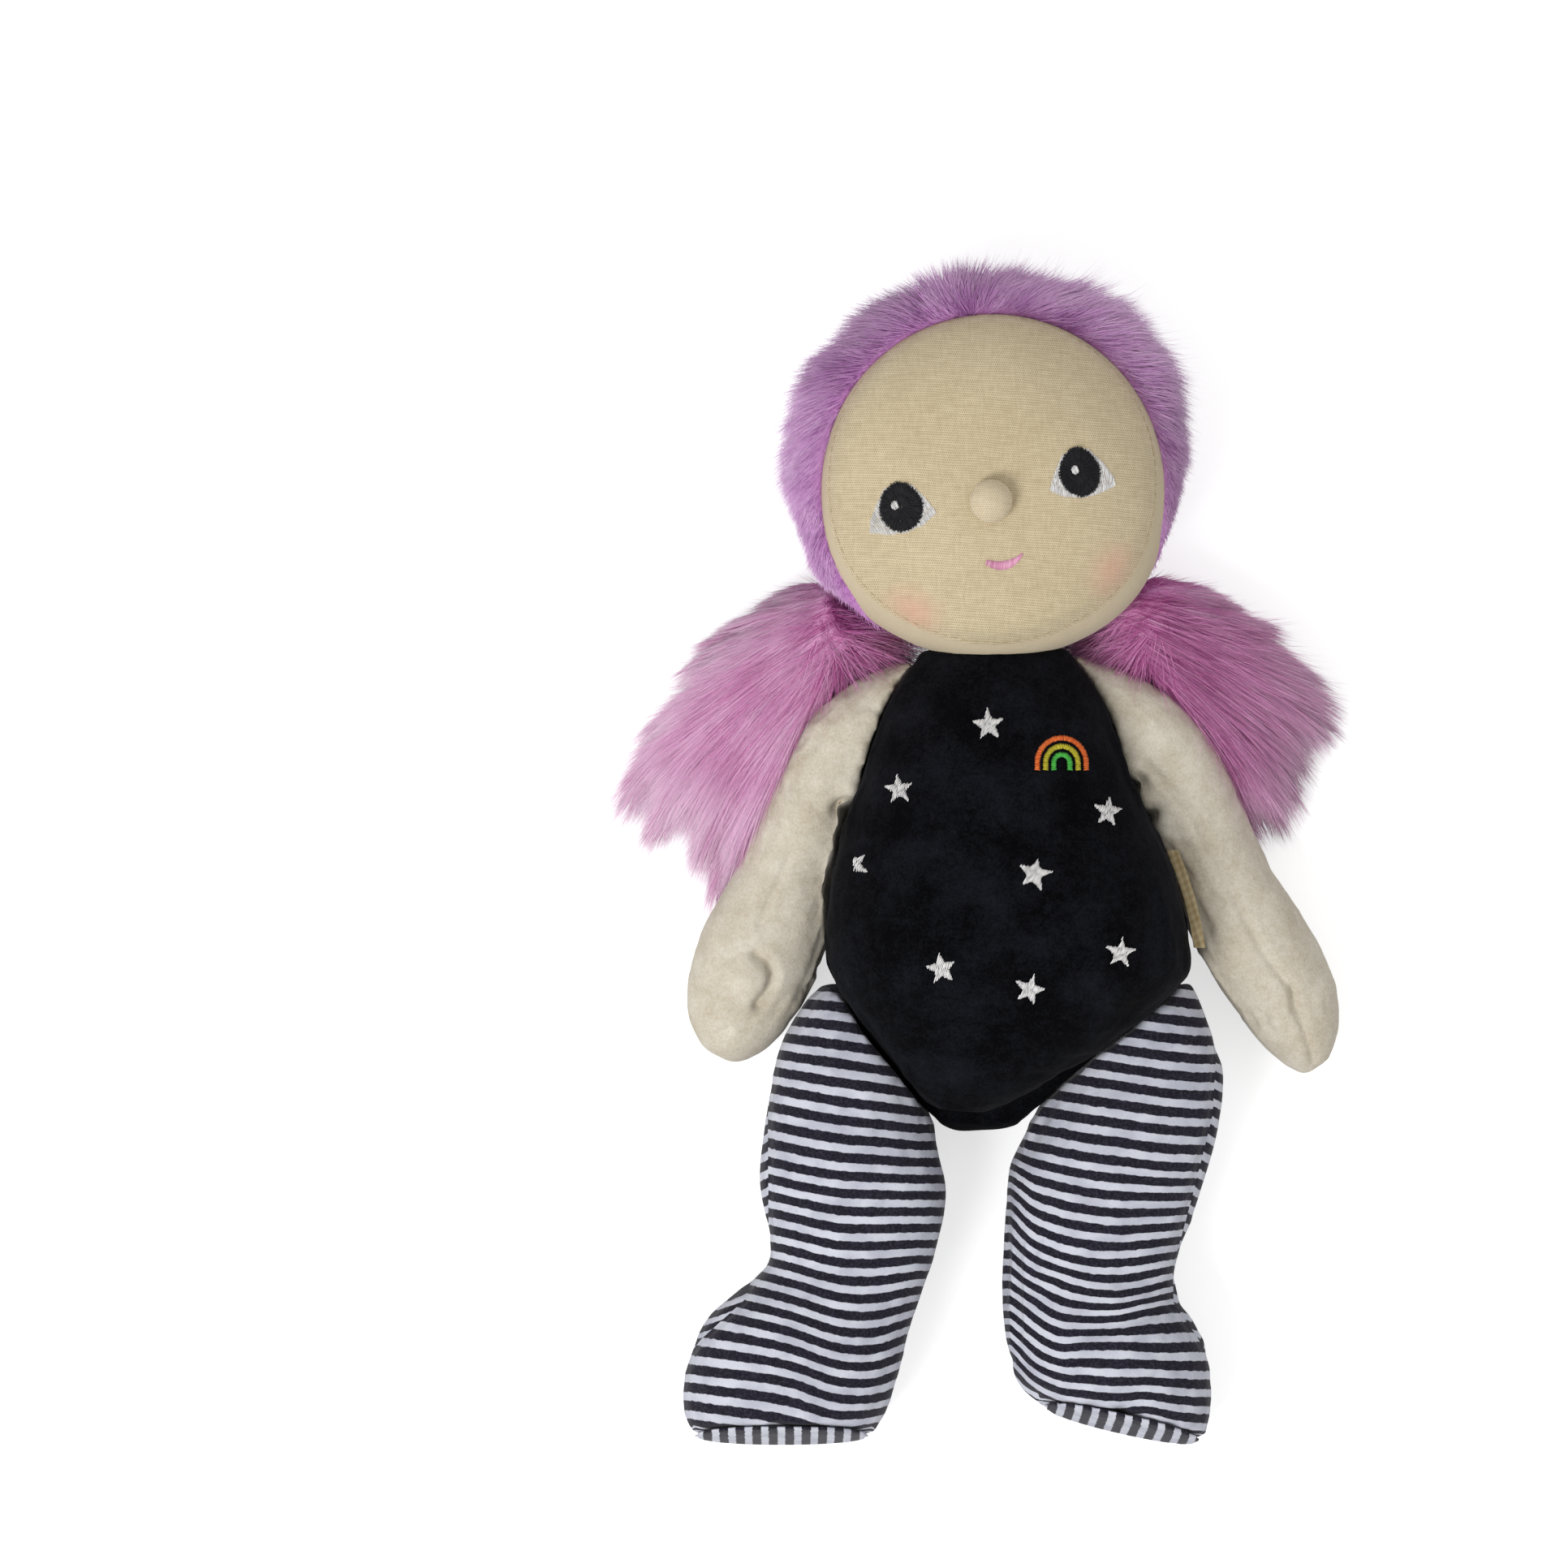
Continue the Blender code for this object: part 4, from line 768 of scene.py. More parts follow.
def make_arms():
    for side, grooves, dents, gathers, seeds in (
            ("right", RIGHT_ARM_GROOVES, RIGHT_ARM_DENTS, 2.8 * MM, (5, 7)),
            ("left", LEFT_ARM_GROOVES, LEFT_ARM_DENTS, 3.4 * MM, (9, 17))):
        arm = soft_copy(f"arm_{side}_cloth", (f"arm_{side}",), 1.7 * MM, 3)
        near = distance_to(point_array(arm), ("body_front", "body_back", f"pigtail_{side}", "hair_cap",
                                              "head", f"leg_{side}"))
        stuffed(arm, near < 1.0 * MM, 1.2 * MM)
        creased(arm, 9 * MM, 0.35 * MM, seeds[0])
        relief(arm, grooves=grooves, dents=dents)
        creased(arm, gathers, 0.30 * MM, seeds[1], beside_body)
        finish(arm, CREAM, "velour_cream", f"arm_{side}", fill=0.8)


# The legs. Stripes are counted down the picture's columns, one white and one dark to a count.

def stripe_count(at, columns, counts, places):
    """Counts the dark stripes down the picture. For each column, places says how far down the counts lie."""
    columns = np.array(columns, float)
    rows = np.array([read_line(at[:, 1], down, counts) for down in places])
    slopes = np.gradient(rows, columns, axis=0)
    across = np.clip(at[:, 0], columns[0], columns[-1])
    first = np.clip(np.searchsorted(columns, across) - 1, 0, len(columns) - 2)
    wide = columns[first + 1] - columns[first]
    t = (across - columns[first]) / wide
    each = np.arange(len(at))
    a, b = rows[first, each], rows[first + 1, each]
    slope_a, slope_b = slopes[first, each] * wide, slopes[first + 1, each] * wide
    curve = (2 * t**3 - 3 * t**2 + 1) * a + (3 * t**2 - 2 * t**3) * b
    return curve + (t**3 - 2 * t**2 + t) * slope_a + (t**3 - t**2) * slope_b + 0.5


def right_leg_stripes(at):
    return stripe_count(at, (850, 880, 910, 970, 1040, 1080, 1130), (0, 4, 8, 12, 15, 18, 21, 24), (
        (1225, 1312, 1402, 1490, 1550, 1615, 1687, 1754),
        (1236, 1322, 1411, 1497, 1558, 1620, 1691, 1759),
        (1246, 1332, 1420, 1505, 1565, 1626, 1694, 1763),
        (1257, 1345, 1437, 1520, 1580, 1640, 1703, 1773),
        (1265, 1358, 1449, 1535, 1599, 1662, 1724, 1784),
        (1272, 1363, 1451, 1535, 1600, 1662, 1723, 1775),
        (1281, 1370, 1453, 1533, 1590, 1644, 1700, 1760)))


def left_leg_stripes(at):
    return stripe_count(at, (1245, 1270, 1300, 1340, 1380, 1410, 1440, 1475),
                        (0, 4, 8, 12, 14, 16, 18, 20, 22, 24), (
        (1228, 1320, 1405, 1468, 1503, 1546, 1583, 1620, 1653, 1684),
        (1230, 1322, 1412, 1490, 1530, 1567, 1600, 1641, 1679, 1711),
        (1236, 1326, 1418, 1503, 1545, 1579, 1620, 1659, 1695, 1728),
        (1243, 1332, 1426, 1512, 1555, 1592, 1626, 1658, 1700, 1737),
        (1248, 1338, 1431, 1516, 1556, 1595, 1624, 1658, 1703, 1740),
        (1252, 1343, 1435, 1514, 1553, 1590, 1617, 1660, 1702, 1737),
        (1256, 1347, 1438, 1512, 1548, 1582, 1612, 1661, 1704, 1743),
        (1260, 1350, 1439, 1508, 1543, 1575, 1610, 1660, 1706, 1748)))


# The outer side seams, in pixels: beyond them the cloth of the back shows.
RIGHT_LEG_SEAM = [(980, 1151), (965, 1228), (946, 1374), (947, 1519), (917, 1602), (864, 1650), (830, 1694)]
LEFT_LEG_SEAM = [(1504, 1180), (1503, 1228), (1494, 1374), (1470, 1471), (1445, 1563), (1446, 1605),
                 (1470, 1640), (1502, 1690), (1520, 1790)]
SEAM_BLEND = 2.4 * MM
STRIPE_PIXELS = 21.9         # a white and a dark stripe in the picture
BACK_SLANT = 0.55            # the back cloth's stripes run aslant beyond the seam
SOLE_PAIR = 4.9 * MM
LEG_MIDDLE = 24 * MM
FOOT_FROM, FOOT_TO = 1560, 1640
HIP_CORNER = (1500, 1200)    # the left leg is broad beside the hand
HIP_SHIFT = (3.6 * MM, 2.0 * MM)
BACK_PANEL = 17 * MM         # the legs' back cloth reaches up to this height
STRIPE_PAIR = 5.3 * MM       # a white and a dark stripe
FOOT_LEAN = 4.2 * MM
FOOT_MIDDLE = 20 * MM        # how high a sole's middle lies


def lean_foot(piece, side, whole=False):
    """Leans the sole's top back up the leg, so that the sole shows from above."""
    points = point_array(piece)
    low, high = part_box(f"sole_{side}")
    if side == "left":
        end = np.interp(points[:, 0], [low.x, high.x], [high.y, low.y])
    else:
        end = np.full(len(points), (low.y + high.y) / 2)
    share = 1.0 if whole else 1 - soft_step(points[:, 1], end + 2 * MM, end + 22 * MM)
    points[:, 1] += share * FOOT_LEAN * np.clip((points[:, 2] - FOOT_MIDDLE) / FOOT_MIDDLE, -1, 1.2)
    move_to(piece, points)


def end_rings(piece, points, side):
    """Extra stripe counts, so that the stripes run on round the sole where the cloth turns in to it."""
    low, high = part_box(f"sole_{side}")
    middle, half = (low + high) / 2, (high - low) / 2
    radius = np.hypot((points[:, 0] - middle.x) / half.x, (points[:, 2] - middle.z) / half.z)
    facing = soft_step(-normal_array(piece)[:, 1], 0.55, 0.95)
    facing *= 1 - soft_step(points[:, 2], FOOT_MIDDLE + 2 * MM, FOOT_MIDDLE + 14 * MM)
    return facing * (1.3 - radius).clip(0) * half.z / STRIPE_PAIR


def make_legs():
    for side, stripes, seam, sign in (("right", right_leg_stripes, RIGHT_LEG_SEAM, -1),
                                      ("left", left_leg_stripes, LEFT_LEG_SEAM, 1)):
        leg = soft_copy(f"leg_{side}_cloth", (f"leg_{side}",), 2.0 * MM, 3)
        near = distance_to(point_array(leg), ("body_front", "body_back", f"sole_{side}", f"arm_{side}"))
        stuffed(leg, near < 1.0 * MM, 1.3 * MM)
        creased(leg, 11 * MM, 0.4 * MM, 13 + sign)
        creases = [(seam, 1.2 * MM, 0.7 * MM)]
        if side == "left":
            creases += [([(1345, 1640), (1400, 1625), (1450, 1607), (1500, 1602)], 2.0 * MM, 1.0 * MM),
                        ([(1350, 1600), (1410, 1596), (1480, 1576)], 2.4 * MM, -0.5 * MM),
                        ([(1438, 1686), (1420, 1704), (1400, 1722), (1378, 1740)], 1.8 * MM, 0.9 * MM)]
        else:
            creases += [([(905, 1545), (950, 1560), (1000, 1600), (1040, 1660)], 3.0 * MM, 0.7 * MM)]
        lean_foot(leg, side)
        relief(leg, grooves=creases)
        points = point_array(leg)
        if side == "left":
            away = np.linalg.norm(seen(points) - np.array(HIP_CORNER), axis=1) * PIXEL
            points[:, :2] += np.exp(-(away / (9 * MM)) ** 2)[:, None] * np.array(HIP_SHIFT)
            move_to(leg, points)
        at = seen(points)
        edge = np.interp(at[:, 1], [p[1] for p in seam], [p[0] for p in seam])
        beyond = (at[:, 0] - edge) * sign
        over_end = end_rings(leg, points, side)
        under_foot = soft_step(at[:, 1], FOOT_FROM, FOOT_TO)
        under_foot *= (LEG_MIDDLE - points[:, 2]).clip(0) / STRIPE_PAIR
        give(leg, "stripe", stripes(at) + over_end)
        slanted = (at[:, 1] - BACK_SLANT * beyond.clip(0)) / STRIPE_PIXELS
        give(leg, "stripe_back", slanted + 0.6 * under_foot + over_end)
        behind = (BACK_PANEL - points[:, 2]) / SEAM_BLEND
        give(leg, "side", np.clip(0.5 + np.maximum(beyond * PIXEL / SEAM_BLEND, behind), 0, 1))
        finish(leg, STRIPED, "velour_stripe", f"leg_{side}", fill=0.8)

        sole = soft_copy(f"sole_{side}_cloth", (f"sole_{side}",), 1.1 * MM, 2)
        lean_foot(sole, side, whole=True)
        points = point_array(sole)
        give(sole, "stripe", points[:, 0] / SOLE_PAIR)
        give(sole, "stripe_back", points[:, 0] / SOLE_PAIR)
        give(sole, "side", np.zeros(len(points)))
        finish(sole, STRIPED, "velour_stripe", f"sole_{side}")


# The head

def power(value, exponent):
    return math.copysign(abs(value) ** exponent, value)


def near_angle(around, place, spread):
    """1 where around is at place and 0 away from it. place and spread are in degrees."""
    away = (math.degrees(around) - place + 180) % 360 - 180
    return math.exp(-(away / spread) ** 2)


def head_point(around, lift, offset=0.0):
    """A point on the stuffed head: around turns from the face's own +x to its top, lift goes from the back
    of the head at -90 degrees to the middle of the face at 90."""
    share = power(math.cos(lift), 2 / HEAD_FULLNESS)
    radius = HEAD_RADIUS * share
    height = HEAD_DEPTH / 2 * power(math.sin(lift), 2 / HEAD_FULLNESS)
    out_slope = (abs(radius) / HEAD_RADIUS) ** (HEAD_FULLNESS - 1) / HEAD_RADIUS
    up_slope = power(2 * height / HEAD_DEPTH, HEAD_FULLNESS - 1) / (HEAD_DEPTH / 2)
    steep = math.hypot(out_slope, up_slope)
    out = FACE_RIGHT * math.cos(around) + FACE_UP * math.sin(around)
    full = 1 + CHEEK_FULLNESS * share**5 * sum(near_angle(around, cheek, CHEEK_SPREAD) for cheek in CHEEKS)
    if lift > 0:
        full += CHIN_DROP * share**5 * math.sin(lift)**0.5 * near_angle(around, CHIN, CHIN_SPREAD)
    point = HEAD_MIDDLE + out * (radius + offset * out_slope / steep) * full
    point.z = max(point.z + height + offset * up_slope / steep, 0.0)
    return point


def face_point(x, y, offset=0.0):
    """The point over (x, y) of the face's own plane, that far off the stuffed head."""
    distance = min(math.hypot(x, y) / HEAD_RADIUS, 0.999)
    rise = (1 - distance**HEAD_FULLNESS) ** (1 / HEAD_FULLNESS)
    lift = math.atan2(rise ** (HEAD_FULLNESS / 2), distance ** (HEAD_FULLNESS / 2))
    return head_point(math.atan2(y, x), lift, offset)


def face_normal(x, y):
    step = 0.5 * MM
    u = face_point(x + step, y) - face_point(x - step, y)
    v = face_point(x, y + step) - face_point(x, y - step)
    return u.cross(v).normalized()


def seam_inset(around):
    share = (1 - math.sin(around)) / 2
    return SEAM_INSET_TOP + (SEAM_INSET_CHIN - SEAM_INSET_TOP) * share


def cotton_height(x, y):
    """How far the face's cotton stands off the stuffed head there: pulled down along its seam."""
    around = math.atan2(y, x)
    inside = HEAD_RADIUS - seam_inset(around) - math.hypot(x, y)
    t = min(max(inside / (5 * MM), 0.0), 1.0)
    return 0.08 * MM + 1.10 * MM * t * t * (3 - 2 * t)


def ball_rows(steps, turns, first, point_of, last):
    """The rings of a ball from its lowest point to its highest. point_of takes the turn and the lift."""
    rows = [first]
    for i in range(1, steps):
        lift = -math.pi / 2 + math.pi * i / steps
        rows.append([point_of(FULL_TURN * j / turns, lift) for j in range(turns)])
    return rows + [last]


def make_head_ball():
    """The stuffed head: full beside the face's seam, and sunk a little under its cotton."""
    def skin(around, lift):
        out = 0.0
        seam = HEAD_RADIUS * (1 - power(math.cos(lift), 2 / HEAD_FULLNESS)) - seam_inset(around)
        if lift > 0:
            out += 0.45 * MM * math.exp(-((seam + 2.4 * MM) / (1.7 * MM)) ** 2)
            if seam > 1.2 * MM:
                out -= 0.4 * MM
        return head_point(around, lift, out)

    rows = ball_rows(88, 176, head_point(0, -math.pi / 2), skin, head_point(0, math.pi / 2, -0.4 * MM))
    head = facing_out(mesh_object("head_ball", *lattice(rows)))
    finish(head, JERSEY, "velour_cream", "head", fill=0.9)


def blushes():
    """Each cheek's blush: its middle on the face, its reach and how deep it is."""
    found = []
    for across, down, depth in CHEEK_BLUSHES:
        height = 0.07
        for _ in range(4):
            point = under(across, down, height)
            local = point - HEAD_MIDDLE
            height = face_point(local.dot(FACE_RIGHT), local.dot(FACE_UP), 1.2 * MM).z
        found.append((point, 12.5 * MM, depth))
    return found


def make_face():
    """The face's cotton: a thin panel with a back close to the head and a front that its seam pulls down."""
    turns, rings = 168, 52
    rows = [face_point(0, 0, 0.05 * MM)]
    for offset_of, shares in ((lambda x, y: 0.05 * MM, [(i + 1) / rings for i in range(rings - 1)]),
                              (cotton_height, [1 - i / rings for i in range(rings)])):
        for share in shares:
            ring = []
            for j in range(turns):
                around = FULL_TURN * j / turns
                reach = (HEAD_RADIUS - seam_inset(around)) * share
                x, y = math.cos(around) * reach, math.sin(around) * reach
                ring.append(face_point(x, y, offset_of(x, y)))
            rows.append(ring)
    rows.append(face_point(0, 0, cotton_height(0, 0)))
    face = facing_out(mesh_object("face_cotton", *lattice(rows)))
    cotton = woven_cotton("face cotton", dye(220, 205, 172), dye(172, 154, 120), math.radians(-3), blushes())
    finish(face, cotton, "cotton", "face_panel")
    face.data.set_sharp_from_angle(angle=math.radians(50))


def make_top_stitch():
    """The line of stitches round the face, just inside its seam."""
    stitches = []
    around = 0.0
    while around < FULL_TURN:
        reach = HEAD_RADIUS - seam_inset(around) - TOP_STITCH_INSET
        turn = TOP_STITCH / reach
        ends = []
        for a in (around, around + turn):
            reach = HEAD_RADIUS - seam_inset(a) - TOP_STITCH_INSET
            x, y = math.cos(a) * reach, math.sin(a) * reach
            ends.append(face_point(x, y, cotton_height(x, y) - 0.02 * MM))
        stitches.append((ends[0], ends[1], face_normal(x, y)))
        around += TOP_STITCH_PITCH / reach
    sewn("face_top_stitch", stitches, BEIGE_THREAD, "cotton", radius=0.15 * MM, arch=0.10 * MM)


def make_nose():
    """The stuffed nose, with a slight pinch at one side."""
    low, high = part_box("nose")
    middle = (low + high) / 2
    radius = (high.x - low.x) / 2
    centre = Vector((middle.x - 0.6 * MM, middle.y - 0.9 * MM, high.z - radius * NOSE_FLATNESS))

    def skin(around, lift):
        out = Vector((math.cos(around) * math.cos(lift), math.sin(around) * math.cos(lift), math.sin(lift)))
        away = math.hypot(out.x + 0.66, out.y - 0.52)
        pinch = 1 - 0.06 * math.exp(-(away / 0.22) ** 2)
        pinch += 0.012 * noise.noise(out * 2.5)
        return centre + Vector((out.x, out.y, out.z * NOSE_FLATNESS)) * radius * pinch

    tip = Vector((0, 0, radius * NOSE_FLATNESS))
    nose = facing_out(mesh_object("nose_ball", *lattice(ball_rows(40, 64, centre - tip, skin, centre + tip))))
    ribbed = woven_cotton("nose cotton", dye(222, 207, 178), dye(184, 166, 136), math.radians(62))
    finish(nose, ribbed, "cotton", "nose")


# Embroidery

def clipped(outline, x):
    """The stretches of the upright line at x that lie inside the outline."""
    hits = []
    for (ax, ay), (bx, by) in zip(outline, outline[1:] + outline[:1]):
        if (ax - x) * (bx - x) < 0:
            hits.append(ay + (by - ay) * (x - ax) / (bx - ax))
    hits.sort()
    return list(zip(hits[0::2], hits[1::2]))


def filled(outline, angle, pitch, length, ragged, seed):
    """Parallel stitches that fill an outline, laid at an angle, with ragged ends."""
    cos, sin = math.cos(angle - math.pi / 2), math.sin(angle - math.pi / 2)
    turned = [(x * cos + y * sin, -x * sin + y * cos) for x, y in outline]
    draw = np.random.default_rng(seed)
    found = []
    low, high = min(p[0] for p in turned), max(p[0] for p in turned)
    for row in range(int((high - low) / pitch) + 1):
        x = low + pitch * (row + 0.5)
        for start, end in clipped(turned, x):
            start -= draw.uniform(0, ragged)
            end += draw.uniform(0, ragged)
            parts = max(1, round((end - start) / length))
            cuts = [start + (end - start) * k / parts for k in range(parts + 1)]
            for k in range(1, parts):
                cuts[k] += draw.uniform(-0.3, 0.3) * length
            for a, b in zip(cuts[:-1], cuts[1:]):
                xa, xb = x + draw.uniform(-0.12, 0.12) * pitch, x + draw.uniform(-0.12, 0.12) * pitch
                found.append(((xa * cos - a * sin, xa * sin + a * cos),
                              (xb * cos - b * sin, xb * sin + b * cos)))
    return found


def on_face(pairs, offset):
    """Stitches over places of the face's plane, laid on its cotton."""
    return [(face_point(ax, ay, cotton_height(ax, ay) + offset),
             face_point(bx, by, cotton_height(bx, by) + offset),
             face_normal((ax + bx) / 2, (ay + by) / 2)) for (ax, ay), (bx, by) in pairs]


def make_eyes():
    draw = np.random.default_rng(21)
    for name, side, wide in (("right", -1, 12.6 * MM), ("left", 1, 12.0 * MM)):
        x, y = side * EYE_SPACING / 2 - FACE_SHIFT, EYE_LINE
        half, tall = EYE_WIDTH / 2, EYE_HEIGHT / 2
        white = [(side, -0.76), (side * 0.5, -0.97), (0.0, -1.03), (side * -0.55, -0.86),
                 (side * -0.97, -0.50), (side * -0.74, 0.12), (side * -0.42, 0.74), (0.0, 0.98),
                 (side * 0.40, 0.80), (side * 0.78, 0.10), (side * 0.97, -0.42)]
        white = [(x + u * half, y + v * tall) for u, v in white]
        pairs = filled(white, math.radians(90 - side * 16), 0.36 * MM, 2.6 * MM, 0.35 * MM, 3)
        sewn(f"white_stitches_{name}", on_face(pairs, 0.10 * MM), WHITE_THREAD, "thread_white",
             f"eye_white_{name}", seed=2)

        def edge(around, share):
            narrow = 1 - 0.14 * max(math.sin(around), 0.0)
            return (x + wide / 2 * share * math.cos(around) * narrow, y + tall * share * math.sin(around))

        pairs = []
        for start, stop, count in ((0.50, 0.98, 132), (0.12, 0.58, 60)):
            for k in range(count):
                around = FULL_TURN * (k + draw.uniform(-0.3, 0.3)) / count
                pairs.append((edge(around + draw.uniform(-0.08, 0.08), start + draw.uniform(-0.04, 0.03)),
                              edge(around, stop + draw.uniform(-0.03, 0.05))))
        disc = [edge(FULL_TURN * k / 24, 0.93) for k in range(24)]
        base = filled(disc, math.radians(60), 0.30 * MM, 3.0 * MM, 0.1 * MM, 5)
        base = on_face(base, 0.36 * MM)
        sewn(f"iris_stitches_{name}", base + on_face(pairs, 0.52 * MM), BLACK_THREAD, "thread_black",
             f"iris_{name}", seed=4, arch=0.25 * MM)
        glint = [(x - wide * 0.11 + 1.05 * MM * math.cos(FULL_TURN * k / 12),
                  y + tall * 0.1 + 1.25 * MM * math.sin(FULL_TURN * k / 12)) for k in range(12)]
        pairs = filled(glint, math.radians(100), 0.32 * MM, 3.0 * MM, 0.1 * MM, 6)
        sewn(f"glint_stitches_{name}", on_face(pairs, 1.05 * MM), WHITE_THREAD, "thread_white",
             f"eye_glint_{name}", seed=7)


def make_mouth():
    draw = np.random.default_rng(31)
    pairs = []
    count = 34
    for k in range(count):
        t = 2 * (k + 0.5) / count - 1
        x = t * MOUTH_WIDTH / 2 - FACE_SHIFT
        y = MOUTH_LINE + MOUTH_CURVE * t * t
        thick = (0.62 + 0.62 * (1 - t * t)) * MM
        lean = 0.35 * MM
        pairs.append(((x - lean, y - thick - draw.uniform(0, 0.1) * MM), (x + lean, y + thick)))
    sewn("mouth_stitches", on_face(pairs, 0.12 * MM), PINK_THREAD, "thread_pink", "mouth", seed=9,
         arch=0.25 * MM)


STARS = (                    # the node, its turn in degrees, and how far its stitches are drawn aside
    ("star_1", 4, -0.5 * MM, -1.8 * MM), ("star_2", 6, 0.8 * MM, 0), ("star_3", -8, -1.4 * MM, -0.6 * MM),
    ("star_4", -12, -1.5 * MM, 0.2 * MM), ("star_5", 24, 1.2 * MM, 0), ("star_6", 10, -0.3 * MM, 0.5 * MM),
    ("star_7", -6, -1.4 * MM, 0), ("star_8", -16, -1.8 * MM, 0.2 * MM),
)
RAINBOW_SHIFT = -0.9 * MM
RAINBOW_BAND = 1.45 * MM
RAINBOW_STEP = 1.68          # from one band to the next, in bands


def body_front_tree():
    body = bpy.data.objects["body_front_cloth"]
    return BVHTree.FromPolygons([v.co.copy() for v in body.data.vertices],
                                [tuple(p.vertices) for p in body.data.polygons])


def on_body(pairs, tree, offset):
    """Stitches over places on the table, dropped onto the body's front."""
    found = []
    for pair in pairs:
        ends, up = [], Vector((0, 0, 1))
        for x, y in pair:
            hit, normal, _, _ = tree.ray_cast(Vector((x, y, 0.3)), Vector((0, 0, -1)))
            if hit is None:
                break
            up = normal
            ends.append(hit + normal * offset)
        if len(ends) == 2:
            found.append((ends[0], ends[1], up))
    return found


def make_stars():
    tree = body_front_tree()
    for i, (node, turn, aside, along) in enumerate(STARS):
        low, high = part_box(node)
        middle, reach = (low + high) / 2 + Vector((aside, along, 0)), max(high.x - low.x, high.y - low.y) / 2
        points = []
        draw = np.random.default_rng(50 + i)
        for k in range(10):
            angle = FULL_TURN * k / 10 + math.pi / 2 + math.radians(turn)
            out = reach * (1.0 if k % 2 == 0 else 0.42) * draw.uniform(0.92, 1.06)
            points.append((middle.x + math.cos(angle) * out, middle.y - 0.3 * MM + math.sin(angle) * out))
        pairs = filled(points, math.radians(58 + 9 * (i % 3)), 0.36 * MM, 2.4 * MM, 0.4 * MM, 60 + i)
        if node == "star_5":    # the side seam takes in its other half
            pairs = [pair for pair in pairs if min(pair[0][0], pair[1][0]) > middle.x - 0.6 * MM]
        sewn(f"star_stitches_{i + 1}", on_body(pairs, tree, 0.12 * MM), WHITE_THREAD, "thread_white", node,
             seed=10 + i, arch=0.25 * MM)


def make_rainbow():
    tree = body_front_tree()
    low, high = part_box("rainbow_orange")
    middle, foot = (low.x + high.x) / 2 + RAINBOW_SHIFT, low.y
    outer = (high.x - low.x) / 2
    band = RAINBOW_BAND
    for k, (colour, material) in enumerate((("orange", ORANGE_THREAD), ("yellow", YELLOW_THREAD),
                                            ("green", GREEN_THREAD))):
        draw = np.random.default_rng(80 + k)
        radius = outer - band / 2 - k * band * RAINBOW_STEP
        leg = outer * 0.28
        line_length = math.pi * radius + 2 * leg
        pairs = []
        count = int(line_length / (0.36 * MM))
        for n in range(count):
            s = (n + 0.5) / count * line_length
            if s < leg:
                cx, cy, nx, ny = radius, s, 1.0, 0.0
            elif s > line_length - leg:
                cx, cy, nx, ny = -radius, line_length - s, -1.0, 0.0
            else:
                a = (s - leg) / radius
                cx, cy, nx, ny = radius * math.cos(a), leg + radius * math.sin(a), math.cos(a), math.sin(a)
            half = band / 2 * draw.uniform(0.9, 1.12)
            slip = draw.uniform(-0.1, 0.1) * MM
            pairs.append(((middle + cx - nx * half - ny * slip, foot + cy - ny * half + nx * slip),
                          (middle + cx + nx * half + ny * slip, foot + cy + ny * half - nx * slip)))
        sewn(f"rainbow_stitches_{colour}", on_body(pairs, tree, 0.12 * MM), material, f"thread_{colour}",
             f"rainbow_{colour}", seed=20 + k, arch=0.3 * MM)


# The hair

def chin_share(around):
    t = min(max((-math.sin(around) - 0.45) / 0.45, 0.0), 1.0)
    return t * t * (3 - 2 * t)


def pile(around):
    """How far the fur stands out beside the head."""
    top = max(math.sin(around), 0.0)
    length = (9.0 + 3.2 * top**1.5) * MM
    length += sum(more * near_angle(around, place, spread) for place, spread, more in PILE_SWEEP)
    tufts = 0.5 * MM * (math.sin(7 * around + 0.6) + 0.8 * math.sin(13 * around + 2.0))
    return length + tufts


def tucked(around):
    """Where the fur ends below the cheeks, from 0 to 1."""
    return float(soft_step(-math.sin(around), 0.20, 0.52))


HAIR_TURNS = 224
# Where each ring of the cap lies, from the rim to the back of the head, and how full the fur is there.
HAIR_SHARES = (0.0, 0.02, 0.045, 0.075, 0.11, 0.15, 0.20, 0.26,
               0.33, 0.41, 0.50, 0.60, 0.70, 0.80, 0.90, 0.97)
HAIR_FULLNESS = (0.10, 0.27, 0.40, 0.49, 0.56, 0.60, 0.60, 0.57,
                 0.51, 0.45, 0.37, 0.30, 0.26, 0.24, 0.22, 0.20)


def hair_cap_shape():
    """A closed shell over the head: an inner skin, and the matted fur under the free fibres."""
    rim_front, rim_chin, back = math.radians(15), math.radians(-34), -math.pi / 2
    rows = [head_point(0, back, 0.1 * MM)]
    arounds = [FULL_TURN * j / HAIR_TURNS for j in range(HAIR_TURNS)]

    def lift(around, share):
        rim = rim_front + (rim_chin - rim_front) * chin_share(around)
        return rim + (back - rim) * share

    for share in reversed(HAIR_SHARES):
        rows.append([head_point(a, lift(a, share), 0.1 * MM) for a in arounds])
    for share, full in zip(HAIR_SHARES, HAIR_FULLNESS):
        ring = []
        for a in arounds:
            thick = pile(a) + (0.7 * MM - pile(a)) * max(chin_share(a), 0.93 * tucked(a))
            ripple = 0.35 * MM * noise.noise(Vector((a * 24, share * 14, 2.0)))
            ripple *= min(1.0, share * 20)
            ring.append(head_point(a, lift(a, share), thick * full + ripple + 0.2 * MM))
        rows.append(ring)
    rows.append(head_point(0, back, 2.0 * MM))
    return facing_out(mesh_object("hair_cap_ground", *lattice(rows)))


